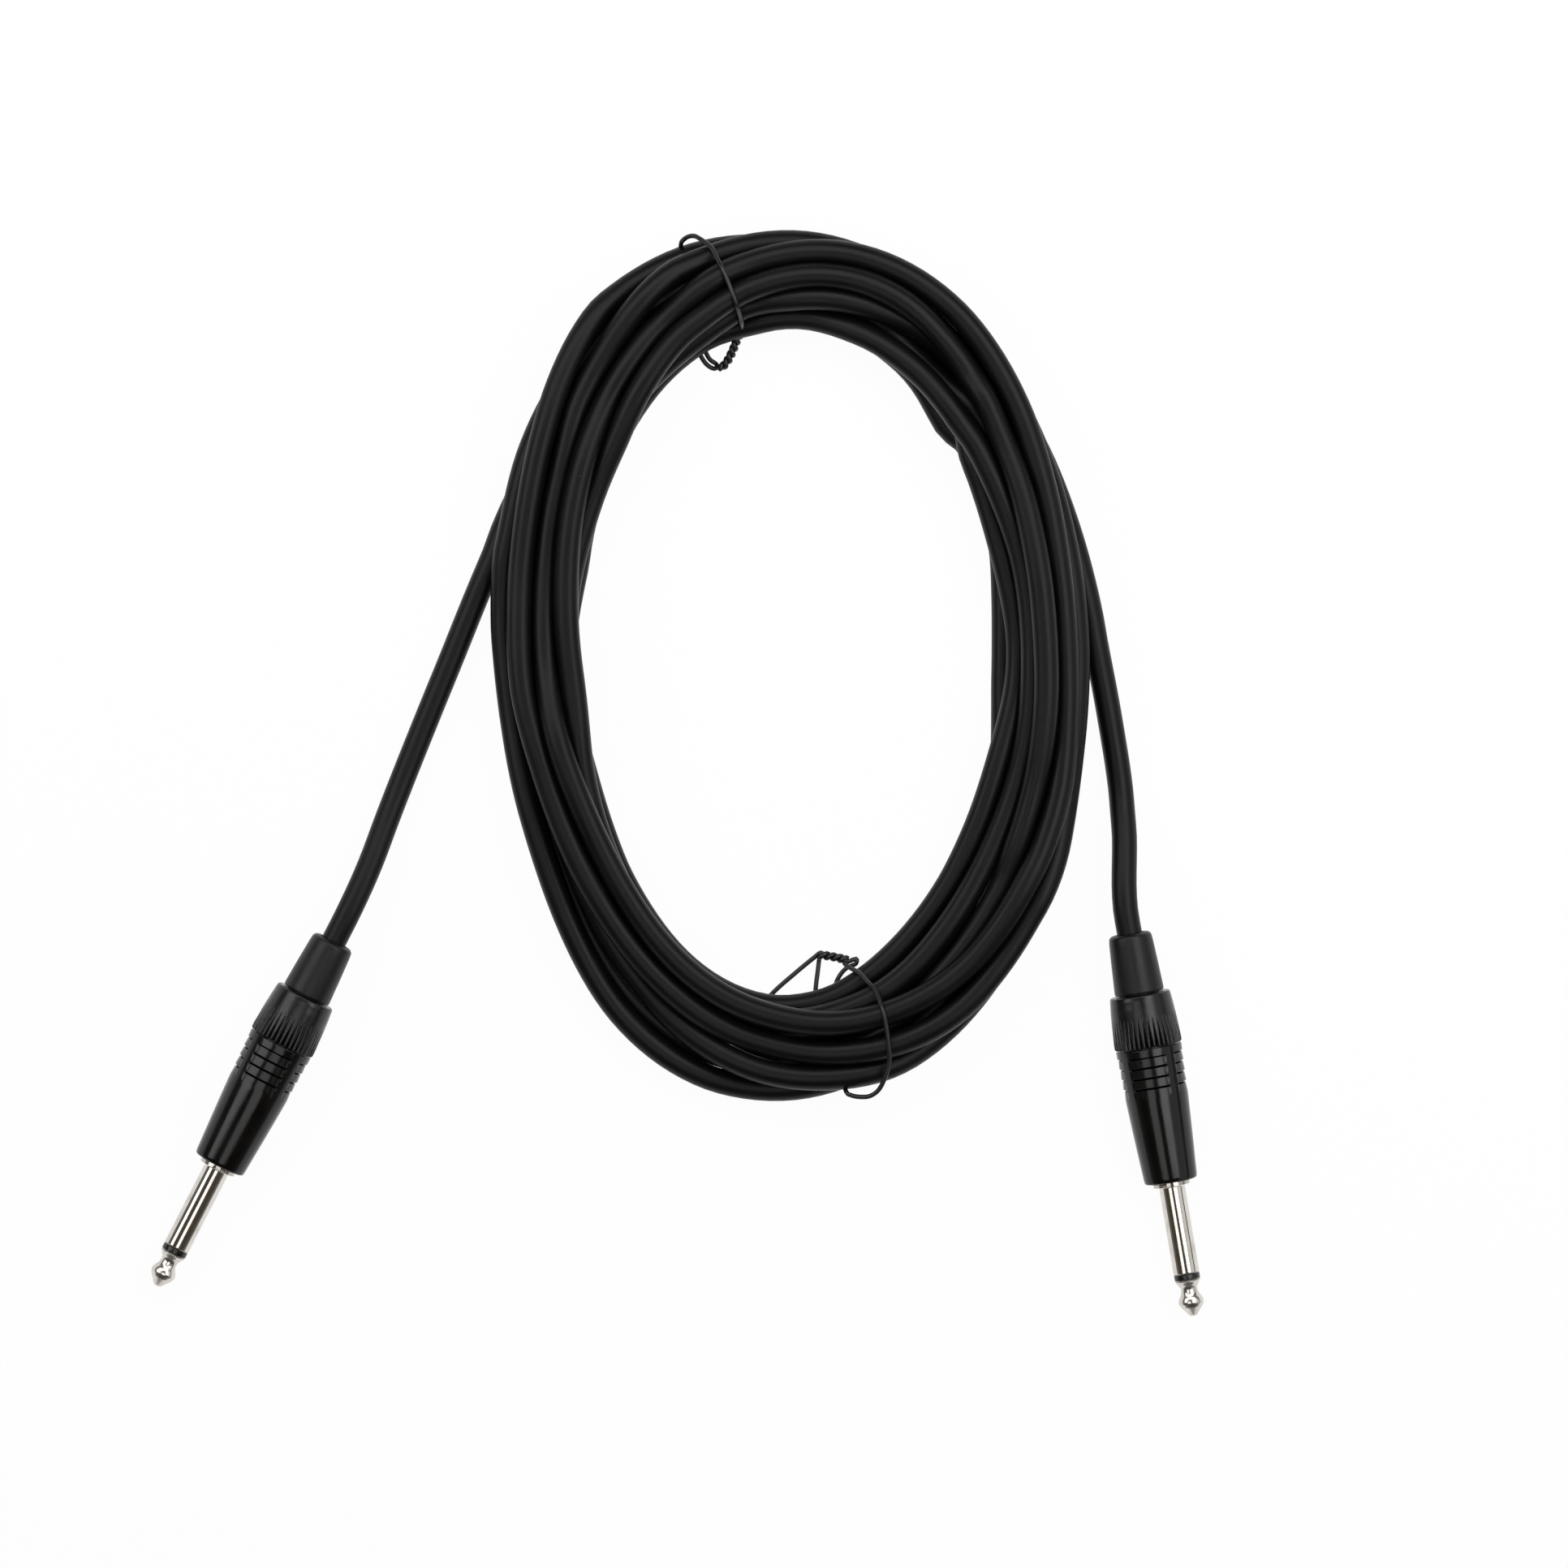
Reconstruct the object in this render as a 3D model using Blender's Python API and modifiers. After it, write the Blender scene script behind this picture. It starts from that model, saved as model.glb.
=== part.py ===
"""A coiled instrument lead with two straight 6.35 mm mono plugs and two wire ties.

The lead lies on the plane z = 0. Sizes are in millimetres and become metres
where a mesh is made. Each plug is built along +Z with its tip at the origin,
and is then laid down at its own end of the lead.
"""
import math

import bmesh
import bpy
import numpy as np
from mathutils import Euler, Matrix, Vector

MM = 0.001
TOUCH_GAP = 0.3              # kept between pieces that touch
BOX_CENTRE = (-26.95, -25.29)  # middle of the whole lead, moved to the origin

# Cord
CORD_D = 6.1
CORD_R = CORD_D / 2
FLAT_CUT = CORD_D / 10       # depth of the flat that the coil rests on
CORD_REST_Z = CORD_R - FLAT_CUT
TAIL_REST_Z = CORD_R + 0.08

# Coil: turns laid round one oval
OVAL_HALF_WIDTH = 61.2
OVAL_HALF_LENGTH = 92.6
OVAL_TILT = math.radians(1.2)
OVAL_CENTRE = (0.0, 1.5)
STATION_ANGLE = 30           # degrees between two stations of the table
POINTS_PER_TURN = 24
TURN_SPACING = 1.14          # least distance between turns, in cord diameters
LAYER_STEP = 0.9             # rise from one layer to the next, in cord diameters
COIL_END_ANGLE = 165         # where the last turn leaves the bundle
END_RISE_POINTS = 4          # at its ends the coil rises to the uncut cord

# The route of the coil. Each pair is the cord's place at the next station: its
# lane across the bundle, outward from the oval in cord diameters, and the layer
# that it lies in before the turns settle on each other.
STATIONS_BEFORE = ((4.3, 0),)
TURNS = (
    ((2.3, 0), (1.1, 0), (1.0, 0), (1.4, 0), (2.0, 1), (1.3, 2),
     (0.5, 2), (0.0, 2), (-0.3, 2), (0.1, 2), (1.7, 2), (1.7, 2)),
    ((1.4, 1.5), (1.5, 1), (1.3, 1), (1.3, 1.5), (1.2, 2), (0.4, 2),
     (-0.5, 2), (-1.1, 2), (-1.2, 2), (-0.9, 2), (0.4, 2), (1.1, 2.5)),
    ((1.0, 3), (1.3, 2), (1.6, 2), (0.8, 2), (0.2, 2), (-0.7, 2),
     (-1.1, 1.5), (-1.3, 1), (-1.0, 1), (-0.9, 1), (-1.0, 1.5), (-0.7, 2)),
    ((-0.5, 2), (-0.8, 2), (-1.4, 2), (-1.6, 1), (-1.3, 0), (-1.0, 0),
     (-0.8, 0), (-0.6, 0), (-0.5, 0), (-0.7, 0), (-1.1, 0), (-1.5, 0)),
    ((-1.6, 0), (-1.5, 0), (-1.4, 0), (-0.9, 0), (-0.3, 0), (0.0, 0),
     (0.2, 0), (0.4, 0), (0.7, 1), (1.4, 1), (1.9, 1), (1.1, 1)),
    ((-0.1, 0), (-0.3, 0), (-0.4, 0), (0.2, 0), (0.9, 1), (1.4, 1),
     (1.2, 0), (1.3, 0), (1.9, 0), (1.8, 0), (1.1, 0), (0.8, 0)),
    ((0.9, 0), (0.4, 1), (-0.2, 1), (-0.9, 1.5), (-1.2, 1), (-0.8, 0.5),
     (-0.3, 1), (-0.1, 1), (0.5, 0.5), (0.3, 0.5), (-0.2, 1), (0.1, 2)),
    ((0.1, 3), (0.2, 3), (0.6, 2), (-0.1, 2), (-0.7, 2), (-1.3, 1),
     (-1.3, 0.5), (-1.4, 0), (-1.3, 0.5), (-1.4, 0), (-1.8, 1), (-1.5, 1)),
    ((-0.9, 1), (-1.1, 1), (-1.0, 1), (-0.4, 1), (0.4, 0), (1.4, 0),
     (3.1, 0)),
)
STATIONS_AFTER = ((7.1, 0),)
SETTLE_STEPS = 600
SETTLE_LAST = 150            # last steps, in which the turns are only parted
PARTING_RATE = 0.4
SIDEWAYS_SHARE = 0.35

# Ties
WIRE_D = 1.2
WIRE_R = WIRE_D / 2
TIE_CLEARANCE = 0.4          # between the wire and the cord
TIE_LIFT = 2.3               # rise of the bundle over a tie
TIE_LIFT_FULL = 15           # degrees either side of a tie at the full rise
TIE_LIFT_NONE = 50
TWIST_TURNS = 2
TWIST_PITCH = 4.4
TWIST_RADIUS = WIRE_R + 0.3
TWIST_START = 1.6            # from the loop's inner side to the twist
# Angle on the oval where the tie crosses the bundle's inner and outer side, the
# direction of its twist, and its two legs, measured from the twist's end
TIES = {
    "top": dict(
        inner_angle=104, outer_angle=108, heading=(-0.48, -0.82, -0.30),
        legs=(((-1.6, -1.6, -0.8), (-4.4, -0.8, -2.0)),
              ((-2.4, 0.8, -1.0), (-5.4, 1.8, -2.4)))),
    "bottom": dict(
        inner_angle=294, outer_angle=286, heading=(-0.92, 0.26, -0.28),
        legs=(((-2.4, 0.4, -0.8), (-8.0, -2.6, -2.0)),
              ((-1.6, -1.6, -1.4), (-3.6, -4.4, -2.4)))),
}

# Plug, measured along its axis from the tip point
TIP_JOINT = 8.9              # tip to insulator
SHANK_JOINT = 10.45          # insulator to shank
SHANK_R = 3.175
ROD_R = 0.9
ROD_END = 44.3
SLEEVE_BORE_R = 1.95
NECK_R = 2.4
FLANGE_R = 4.55
MOUTH = 33.2
MOUTH_R = 6.5
BARREL_BORE_R = 5.9
GROOVES = (56.76, 59.29, 61.82, 64.35)
GROOVE_DEPTH = 0.25
BARREL_END = 66.15
SPIGOT_R = 6.3
SPIGOT_END = 72.0
RIM = 66.8
RIM_R = 8.2
NUT_END = 79.2
BOOT_START = NUT_END + TOUCH_GAP
BOOT_END = 94.0
CORD_BORE_R = CORD_R + TOUCH_GAP
CORD_START = 58.0
FLUTES = 40
FLUTE_VALLEY_R = 7.79
FLUTE_CREST_R = 8.65
NUT_TRAVEL = 5.0             # the nut and boot back off this far along the cord
STRAIGHT_END = BOOT_END + NUT_TRAVEL + 1.5
TURNED_STEPS = 20
SMALL_STEPS = 12

# Where each plug lies: its tip (x, y) and its heading, clockwise from +Y
PLUGS = {
    "a": ((-153.05, -150.0), math.radians(27.3)),
    "b": ((97.95, -157.3), math.radians(-9.6)),
}
# The lying plug touches the floor with its nut's rim and its barrel's mouth
PITCH = math.atan((RIM_R - MOUTH_R) / (RIM - MOUTH - 0.5))
TIP_HEIGHT = MOUTH_R * math.cos(PITCH) - (MOUTH + 0.5) * math.sin(PITCH) + 0.15

# Free stretches between the straight part behind each boot and the coil
TAIL_ROUTES = {
    "a": ((-104.0, -54.4, 9.3), (-100.9, -47.1, 7.6), (-97.2, -36.9, 5.0),
          (-93.6, -27.5, 3.5), (-88.9, -15.7, TAIL_REST_Z), (-82.5, 0.0, TAIL_REST_Z)),
    "b": ((81.0, -50.5, 8.6), (81.2, -42.5, 6.4), (80.6, -33.5, 4.2),
          (79.5, -23.5, TAIL_REST_Z)),
}
TAIL_STEP = 2.3 * CORD_D     # distance between the points of a free stretch

# Colour, roughness and metallic value of each finish
FINISHES = {
    "nickel": ((0.62, 0.60, 0.56), 0.22, 1.0),
    "satin black": ((0.015, 0.015, 0.016), 0.35, 0.0),
    "gloss black": ((0.012, 0.012, 0.013), 0.15, 0.0),
    "black rubber": ((0.02, 0.02, 0.02), 0.75, 0.0),
    "black cord": ((0.018, 0.018, 0.019), 0.5, 0.0),
    "clear film": ((0.75, 0.72, 0.62), 0.3, 0.0),
    "white plastic": ((0.75, 0.74, 0.70), 0.4, 0.0),
    "tinned copper": ((0.55, 0.50, 0.42), 0.35, 1.0),
    "solder": ((0.50, 0.50, 0.52), 0.3, 1.0),
}


def new_collection(name):
    collection = bpy.data.collections.new(name)
    bpy.context.scene.collection.children.link(collection)
    return collection


def apply_finish(item, finish):
    """Gives the piece its own material."""
    colour, roughness, metallic = FINISHES[finish]
    material = bpy.data.materials.new(f"{item.name} {finish}")
    material.use_nodes = True
    shader = material.node_tree.nodes["Principled BSDF"]
    shader.inputs["Base Color"].default_value = (*colour, 1.0)
    shader.inputs["Roughness"].default_value = roughness
    shader.inputs["Metallic"].default_value = metallic
    item.data.materials.append(material)


def add_piece(name, data, finish, parent=None):
    item = bpy.data.objects.new(name, data)
    parts.objects.link(item)
    item.parent = parent
    if finish:
        apply_finish(item, finish)
    return item


def add_cutter(name, mesh, parent=None):
    item = bpy.data.objects.new(name, mesh)
    cutters.objects.link(item)
    item.parent = parent
    item.hide_render = True
    item.display_type = "WIRE"
    return item


def combine(item, other, operation):
    """Boolean of the piece with another mesh object."""
    modifier = item.modifiers.new(operation.title(), "BOOLEAN")
    modifier.operation = operation
    modifier.object = other
    modifier.solver = "EXACT"


def curve_mesh(curve):
    """The curve's surface as a mesh, with its caps welded on."""
    source = bpy.data.objects.new(curve.name, curve)
    bpy.context.scene.collection.objects.link(source)
    graph = bpy.context.evaluated_depsgraph_get()
    mesh = bpy.data.meshes.new_from_object(source.evaluated_get(graph))
    bpy.data.objects.remove(source)
    welded = bmesh.new()
    welded.from_mesh(mesh)
    bmesh.ops.remove_doubles(welded, verts=welded.verts, dist=0.001 * MM)
    welded.to_mesh(mesh)
    welded.free()
    return mesh


def outline_mesh(name, outline, half_thickness):
    """A flat outline in the XY plane, thickened both ways along Z."""
    curve = bpy.data.curves.new(name, "CURVE")
    curve.dimensions = "2D"
    curve.fill_mode = "BOTH"
    curve.extrude = half_thickness * MM
    spline = curve.splines.new("POLY")
    spline.use_cyclic_u = True
    spline.points.add(len(outline) - 1)
    for knot, (x, y) in zip(spline.points, outline):
        knot.co = (x * MM, y * MM, 0.0, 1.0)
    return curve_mesh(curve)


def tube_curve(name, points, radius, resolution, twist_mode="Z_UP", tilt=0.0):
    """A round tube along the points, as a curve with caps."""
    curve = bpy.data.curves.new(name, "CURVE")
    curve.dimensions = "3D"
    curve.twist_mode = twist_mode
    curve.bevel_depth = radius * MM
    curve.bevel_resolution = resolution
    curve.use_fill_caps = True
    spline = curve.splines.new("POLY")
    spline.points.add(len(points) - 1)
    for knot, point in zip(spline.points, points):
        knot.co = (*(Vector(point) * MM), 1.0)
        knot.tilt = tilt
    return curve


def turned_mesh(name, profile, closed):
    """The outline of a turned piece, as (radius, distance from the tip)."""
    count = len(profile)
    edges = [(i, i + 1) for i in range(count - 1)]
    if closed:
        edges.append((count - 1, 0))
    mesh = bpy.data.meshes.new(name)
    mesh.from_pydata([(r * MM, 0.0, s * MM) for r, s in profile], edges, [])
    return mesh


def add_screw(item, steps):
    screw = item.modifiers.new("Screw", "SCREW")
    screw.steps = steps
    screw.render_steps = steps
    screw.use_merge_vertices = True
    screw.merge_threshold = 0.01 * MM
    screw.use_smooth_shade = True


def turned(name, profile, finish, plug, steps=TURNED_STEPS):
    """A turned piece. Its profile runs down the outer side, from the boot end
    to the tip end, and up the bore if it has one."""
    closed = profile[0][0] > 0
    item = add_piece(name, turned_mesh(name, profile, closed), finish, plug)
    add_screw(item, steps)
    return item


def ring(name, inner, outer, start, end, finish, plug, steps=TURNED_STEPS):
    profile = ((outer, end), (outer, start), (inner, start), (inner, end))
    return turned(name, profile, finish, plug, steps)


def smooth_through(points, steps):
    """A smooth curve through the points, each span in equal steps. The first
    and the last point only set the directions at the ends."""
    points = np.array(points, float)
    curve = []
    for before, start, end, after in zip(points, points[1:], points[2:], points[3:]):
        for step in range(steps):
            f = step / steps
            linear = (end - before) * f
            square = (2 * before - 5 * start + 4 * end - after) * f ** 2
            cubic = (3 * start - before - 3 * end + after) * f ** 3
            curve.append(start + 0.5 * (linear + square + cubic))
    curve.append(points[-2])
    return np.array(curve)


def even_points(curve, step):
    """Points at even distances along a finely divided curve."""
    run = np.concatenate(([0.0], np.cumsum(np.linalg.norm(np.diff(curve, axis=0), axis=1))))
    places = np.linspace(0.0, run[-1], max(2, round(run[-1] / step) + 1))
    return np.column_stack([np.interp(places, run, curve[:, axis]) for axis in range(3)])


def length_of(points):
    return float(np.linalg.norm(np.diff(points, axis=0), axis=1).sum())


def least_gap(points, diameter, apart):
    """Least gap between stretches of a tube that lie further apart along it."""
    fine = even_points(np.array(points), diameter / 4)
    skip = round(apart / (diameter / 4))
    least = math.inf
    for index in range(len(fine) - skip):
        distances = np.linalg.norm(fine[index + skip:] - fine[index], axis=1)
        least = min(least, distances.min())
    return least - diameter


def oval_place(angle, lane):
    """The point (x, y) at an angle of the oval and a lane outward from it."""
    t = math.radians(angle)
    point = Vector((OVAL_HALF_WIDTH * math.cos(t), OVAL_HALF_LENGTH * math.sin(t)))
    normal = Vector((OVAL_HALF_LENGTH * math.cos(t), OVAL_HALF_WIDTH * math.sin(t)))
    point += normal.normalized() * lane * CORD_D
    return Matrix.Rotation(OVAL_TILT, 2) @ point + Vector(OVAL_CENTRE)


def tie_lift(angle):
    """How far the bundle is raised at this angle, over the nearer tie."""
    lifts = [0.0]
    for tie in TIES.values():
        middle = (tie["inner_angle"] + tie["outer_angle"]) / 2
        away = abs((angle - middle + 180) % 360 - 180)
        part = (TIE_LIFT_NONE - away) / (TIE_LIFT_NONE - TIE_LIFT_FULL)
        part = min(max(part, 0.0), 1.0)
        lifts.append(TIE_LIFT * part * part * (3 - 2 * part))
    return max(lifts)


def part_turns(lane, height):
    """Pushes apart the turns that come too close, more upward than sideways.

    Each turn is compared with those laid 1, 2, 3... turns later, at the points
    and at places between two points.
    """
    for turns in range(1, len(TURNS)):
        first = np.arange(len(lane) - turns * POINTS_PER_TURN - 1)
        second = first + turns * POINTS_PER_TURN
        for part in (0.0, 0.25, 0.5, 0.75):
            shares = ((0, 1 - part), (1, part))
            across = sum(w * (lane[second + k] - lane[first + k]) for k, w in shares)
            up = sum(w * (height[second + k] - height[first + k]) for k, w in shares)
            distance = np.hypot(across, up) + 1e-9
            push = PARTING_RATE * np.maximum(0, TURN_SPACING - distance)
            sideways = SIDEWAYS_SHARE * push * across / distance
            upward = push * up / distance
            for k, w in shares:
                lane[first + k] -= w * sideways
                lane[second + k] += w * sideways
                height[first + k] -= w * upward
                height[second + k] += w * upward


def settle_turns():
    """Lane and height of each point, once the turns have sunk onto each other."""
    stations = STATIONS_BEFORE + sum(TURNS, ()) + STATIONS_AFTER
    steps = POINTS_PER_TURN * STATION_ANGLE // 360
    step_angle = 360 / POINTS_PER_TURN
    count = round(((len(TURNS) - 1) * 360 + COIL_END_ANGLE) / step_angle) + 1
    guide = smooth_through(stations, steps)[:count]
    from_end = np.minimum(np.arange(count), np.arange(count)[::-1])
    end_rise = np.maximum(0.0, 1 - from_end / END_RISE_POINTS) * (TAIL_REST_Z - CORD_REST_Z)
    floor = np.array([tie_lift(step_angle * i) for i in range(count)])
    floor = np.maximum(floor, end_rise) / CORD_D
    lane = guide[:, 0].copy()
    height = guide[:, 1] * LAYER_STEP
    for step in range(SETTLE_STEPS):
        if step < SETTLE_STEPS - SETTLE_LAST:
            lane += 0.075 * (guide[:, 0] - lane)
            height -= 0.02
            lane[1:-1] += 0.1 * ((lane[:-2] + lane[2:]) / 2 - lane[1:-1])
            height[1:-1] += 0.35 * ((height[:-2] + height[2:]) / 2 - height[1:-1])
        height = np.maximum(height, floor)
        part_turns(lane, height)
    return lane, np.maximum(height, floor)


def coil_points():
    """The coil's centreline, from the right plug's side to the left plug's."""
    lane, height = settle_turns()
    step_angle = 360 / POINTS_PER_TURN
    points = []
    for index in range(len(lane)):
        x, y = oval_place(step_angle * index, lane[index])
        points.append((x, y, CORD_REST_Z + height[index] * CORD_D))
    points = np.array(points)
    start = points[0] - unit(points[1] - points[0], flat=True) * CORD_D
    end = points[-1] + unit(points[-1] - points[-2], flat=True) * CORD_D
    return np.vstack((start, points, end))


def unit(vector, flat=False):
    vector = np.array(vector, float)
    if flat:
        vector[2] = 0.0
    return vector / np.linalg.norm(vector)


def make_coil(points):
    curve = tube_curve("cord_coil", points, CORD_R, 1, tilt=math.radians(30))
    item = add_piece("cord_coil", curve_mesh(curve), "black cord")
    mesh = bpy.data.meshes.new("coil_flat_cutter")
    slab = bmesh.new()
    bmesh.ops.create_cube(slab, size=1.0)
    size = Vector((400, 400, 20)) * MM
    bmesh.ops.scale(slab, vec=size, verts=slab.verts)
    bmesh.ops.translate(slab, vec=(0, 0, -size.z / 2), verts=slab.verts)
    slab.to_mesh(mesh)
    slab.free()
    combine(item, add_cutter("coil_flat_cutter", mesh), "DIFFERENCE")


def plug_matrix(side):
    """Turns the plug's +Z to its heading, pitched so that it rests on two rims."""
    (x, y), heading = PLUGS[side]
    rotation = Euler((PITCH - math.pi / 2, 0.0, -heading)).to_matrix().to_4x4()
    return Matrix.Translation((x, y, TIP_HEIGHT)) @ rotation


def tail_points(side, coil_end, coil_direction):
    """From inside the plug, straight out of the boot, and down to the coil."""
    place = plug_matrix(side)
    straight = [place @ Vector((0, 0, s)) for s in (CORD_START, STRAIGHT_END)]
    behind = place @ Vector((0, 0, STRAIGHT_END - 10))
    start = coil_end + coil_direction * TOUCH_GAP
    joined = start + coil_direction * CORD_D
    route = [behind, straight[1], *TAIL_ROUTES[side], joined, start, coil_end]
    bend = smooth_through(route, 12)
    bend = even_points(bend[:-12], TAIL_STEP)
    return np.vstack((straight[0], bend, start))


def make_tail(side, points):
    curve = tube_curve(f"cord_tail_{side}", points, CORD_R, 2)
    add_piece(f"cord_tail_{side}", curve, "black cord")


def bundle_outline(centres, offset, steps):
    """The taut outline round the strands that pass a tie, from the inner side
    over the top and back under the bundle, as (outward, up)."""
    outline = []
    for step in range(steps + 1):
        angle = math.radians(170 - 340 * step / steps)
        direction = np.array((math.cos(angle), math.sin(angle)))
        centre = centres[np.argmax(centres @ direction)]
        outline.append(centre + direction * offset)
    return outline


def strands_at(coil, angle, span):
    """Where the strands pass an angle of the oval, as (outward, up)."""
    turn = Matrix.Rotation(-OVAL_TILT, 2)
    origin = oval_place(angle, 0)
    normal = (oval_place(angle, 1) - origin).normalized()
    places = []
    for x, y, z in even_points(coil, 1.0):
        offset = Vector((x, y)) - origin
        if abs(offset.cross(normal)) < span and offset.length < 5 * CORD_D:
            places.append((offset.dot(normal), z))
    return np.array(places)


def tie_points(tie, coil):
    """One wire: a leg, one strand of the twist, the loop, the other strand, a leg."""
    middle = (tie["inner_angle"] + tie["outer_angle"]) / 2
    span = 6 + abs(tie["outer_angle"] - tie["inner_angle"])
    strands = strands_at(coil, middle, span)
    outline = bundle_outline(strands, CORD_R + WIRE_R + TIE_CLEARANCE, 24)
    inner = min(u for u, _ in outline)
    outer = max(u for u, _ in outline)
    loop = []
    for outward, up in outline:
        part = (outward - inner) / (outer - inner)
        angle = tie["inner_angle"] + (tie["outer_angle"] - tie["inner_angle"]) * part
        x, y = oval_place(angle, outward / CORD_D)
        loop.append((x, y, max(up, WIRE_R + 0.05)))
    axis = Vector(tie["heading"]).normalized()
    near = Vector((*oval_place(tie["inner_angle"], (inner - TWIST_START) / CORD_D),
                   (outline[0][1] + outline[-1][1]) / 2))
    side = axis.cross(Vector((0, 0, 1))).normalized()
    up = side.cross(axis)
    length = TWIST_TURNS * TWIST_PITCH
    strand_steps = 10 * TWIST_TURNS

    def twist(phase):
        strand = []
        for step in range(strand_steps + 1):
            turn = phase + 2 * math.pi * TWIST_TURNS * step / strand_steps
            offset = side * math.cos(turn) + up * math.sin(turn)
            strand.append(near + axis * length * step / strand_steps + offset * TWIST_RADIUS)
        return strand

    over = twist(math.pi / 2)
    under = twist(-math.pi / 2)
    end = near + axis * (length + 1)
    first_leg, second_leg = [[end + Vector(p) for p in leg] for leg in tie["legs"]]
    return np.array([*reversed(first_leg), *reversed(over), *loop, *under, *second_leg])


def make_tie(name, points):
    curve = tube_curve(f"tie_{name}", points, WIRE_R, 1, twist_mode="MINIMUM")
    add_piece(f"tie_{name}", curve, "black rubber")


def make_tip(side, plug):
    """The tip and the rod that carries it through the sleeve, riveted at the end."""
    profile = (
        (0, ROD_END), (1.5, ROD_END), (1.5, 43.5), (ROD_R, 43.5),
        (ROD_R, TIP_JOINT - 0.15), (3.1, TIP_JOINT - 0.15), (2.9, 8.39), (2.6, 7.84),
        (2.15, 7.29), (2.0, 6.6), (2.12, 5.64), (2.42, 5.09), (2.79, 4.54),
        (3.07, 3.35), (2.63, 2.34), (0.65, 0.0), (0, 0.0))
    turned(f"tip_contact_{side}", profile, "nickel", plug)
    ring(f"tip_insulator_{side}", ROD_R + TOUCH_GAP, 3.13, TIP_JOINT + 0.15,
         SHANK_JOINT - 0.15, "gloss black", plug)
    ring(f"rod_insulator_{side}", ROD_R + TOUCH_GAP, SLEEVE_BORE_R - TOUCH_GAP,
         SHANK_JOINT + 0.15, 41.2, "clear film", plug, SMALL_STEPS)


def make_sleeve(side, plug):
    """The shank, its stepped flange, and the neck that the ground lug sits on."""
    end = 41.2
    start = SHANK_JOINT + 0.15
    profile = (
        (NECK_R, end), (NECK_R, 39.5), (4.2, 39.5), (4.2, MOUTH - TOUCH_GAP),
        (FLANGE_R, MOUTH - TOUCH_GAP), (FLANGE_R, 32.4), (4.3, 32.3), (4.3, 32.2),
        (FLANGE_R, 32.1), (FLANGE_R, 31.75), (SHANK_R, 31.75), (SHANK_R, start + 0.2),
        (SHANK_R - 0.2, start), (SLEEVE_BORE_R, start), (SLEEVE_BORE_R, end))
    turned(f"sleeve_{side}", profile, "nickel", plug)


def make_lug(name, foot_start, foot_end, tongue, width, hole_r, thickness, along, plug):
    """A bent solder lug: a foot across the axis, drilled, and a tongue along it."""
    start, end = along
    inner = tongue - math.copysign(thickness, tongue)
    outline = ((foot_start, start), (tongue, start), (tongue, end),
               (inner, end), (inner, start + thickness), (foot_start, start + thickness))
    mesh = outline_mesh(name, outline, width / 2)
    mesh.transform(Matrix.Rotation(math.pi / 2, 4, "X"))
    item = add_piece(name, mesh, "tinned copper", plug)
    drill = bmesh.new()
    bmesh.ops.create_cone(
        drill, cap_ends=True, segments=SMALL_STEPS, radius1=hole_r * MM,
        radius2=hole_r * MM, depth=4 * MM, matrix=Matrix.Translation((0, 0, start * MM)))
    cutter_mesh = bpy.data.meshes.new(f"{name}_drill")
    drill.to_mesh(cutter_mesh)
    drill.free()
    combine(item, add_cutter(f"{name}_drill", cutter_mesh, plug), "DIFFERENCE")


def make_wiring(side, plug):
    """The lugs, the wires that leave the cord, and their solder."""
    make_lug(f"ground_lug_{side}", 3.4, 3.4, -3.9, 6.4, NECK_R + TOUCH_GAP, 0.6,
             (39.8, 50.0), plug)
    ring(f"lug_insulator_{side}", ROD_R + TOUCH_GAP, 2.9, 41.5, 42.3,
         "white plastic", plug, SMALL_STEPS)
    make_lug(f"tip_lug_{side}", -2.2, -2.2, 2.9, 4.0, ROD_R + TOUCH_GAP, 0.6,
             (42.6, 51.0), plug)
    for name, x, along in (("tip_solder", 1.0, 48.0), ("ground_solder", -2.0, 46.0)):
        bead = bmesh.new()
        bmesh.ops.create_uvsphere(
            bead, u_segments=10, v_segments=6, radius=1.0 * MM,
            matrix=Matrix.Translation(Vector((x, 0, along)) * MM))
        mesh = bpy.data.meshes.new(f"{name}_{side}")
        bead.to_mesh(mesh)
        bead.free()
        mesh.shade_smooth()
        add_piece(f"{name}_{side}", mesh, "solder", plug)
    cord_face = CORD_START - TOUCH_GAP
    core = ((1.0, 0, 49.3), (1.1, 0, 51.5), (0.9, 0, 54.0), (0.9, 0, cord_face))
    screen = ((-2.0, 0, 47.3), (-2.1, 0, 50.0), (-1.7, 0, 54.0), (-1.6, 0, cord_face))
    for name, points, radius, finish in (
            ("core_wire", core, 0.6, "white plastic"),
            ("shield_pigtail", screen, 0.8, "tinned copper")):
        name = f"{name}_{side}"
        curve = tube_curve(name, points, radius, 2, twist_mode="MINIMUM")
        add_piece(name, curve, finish, plug)


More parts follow.
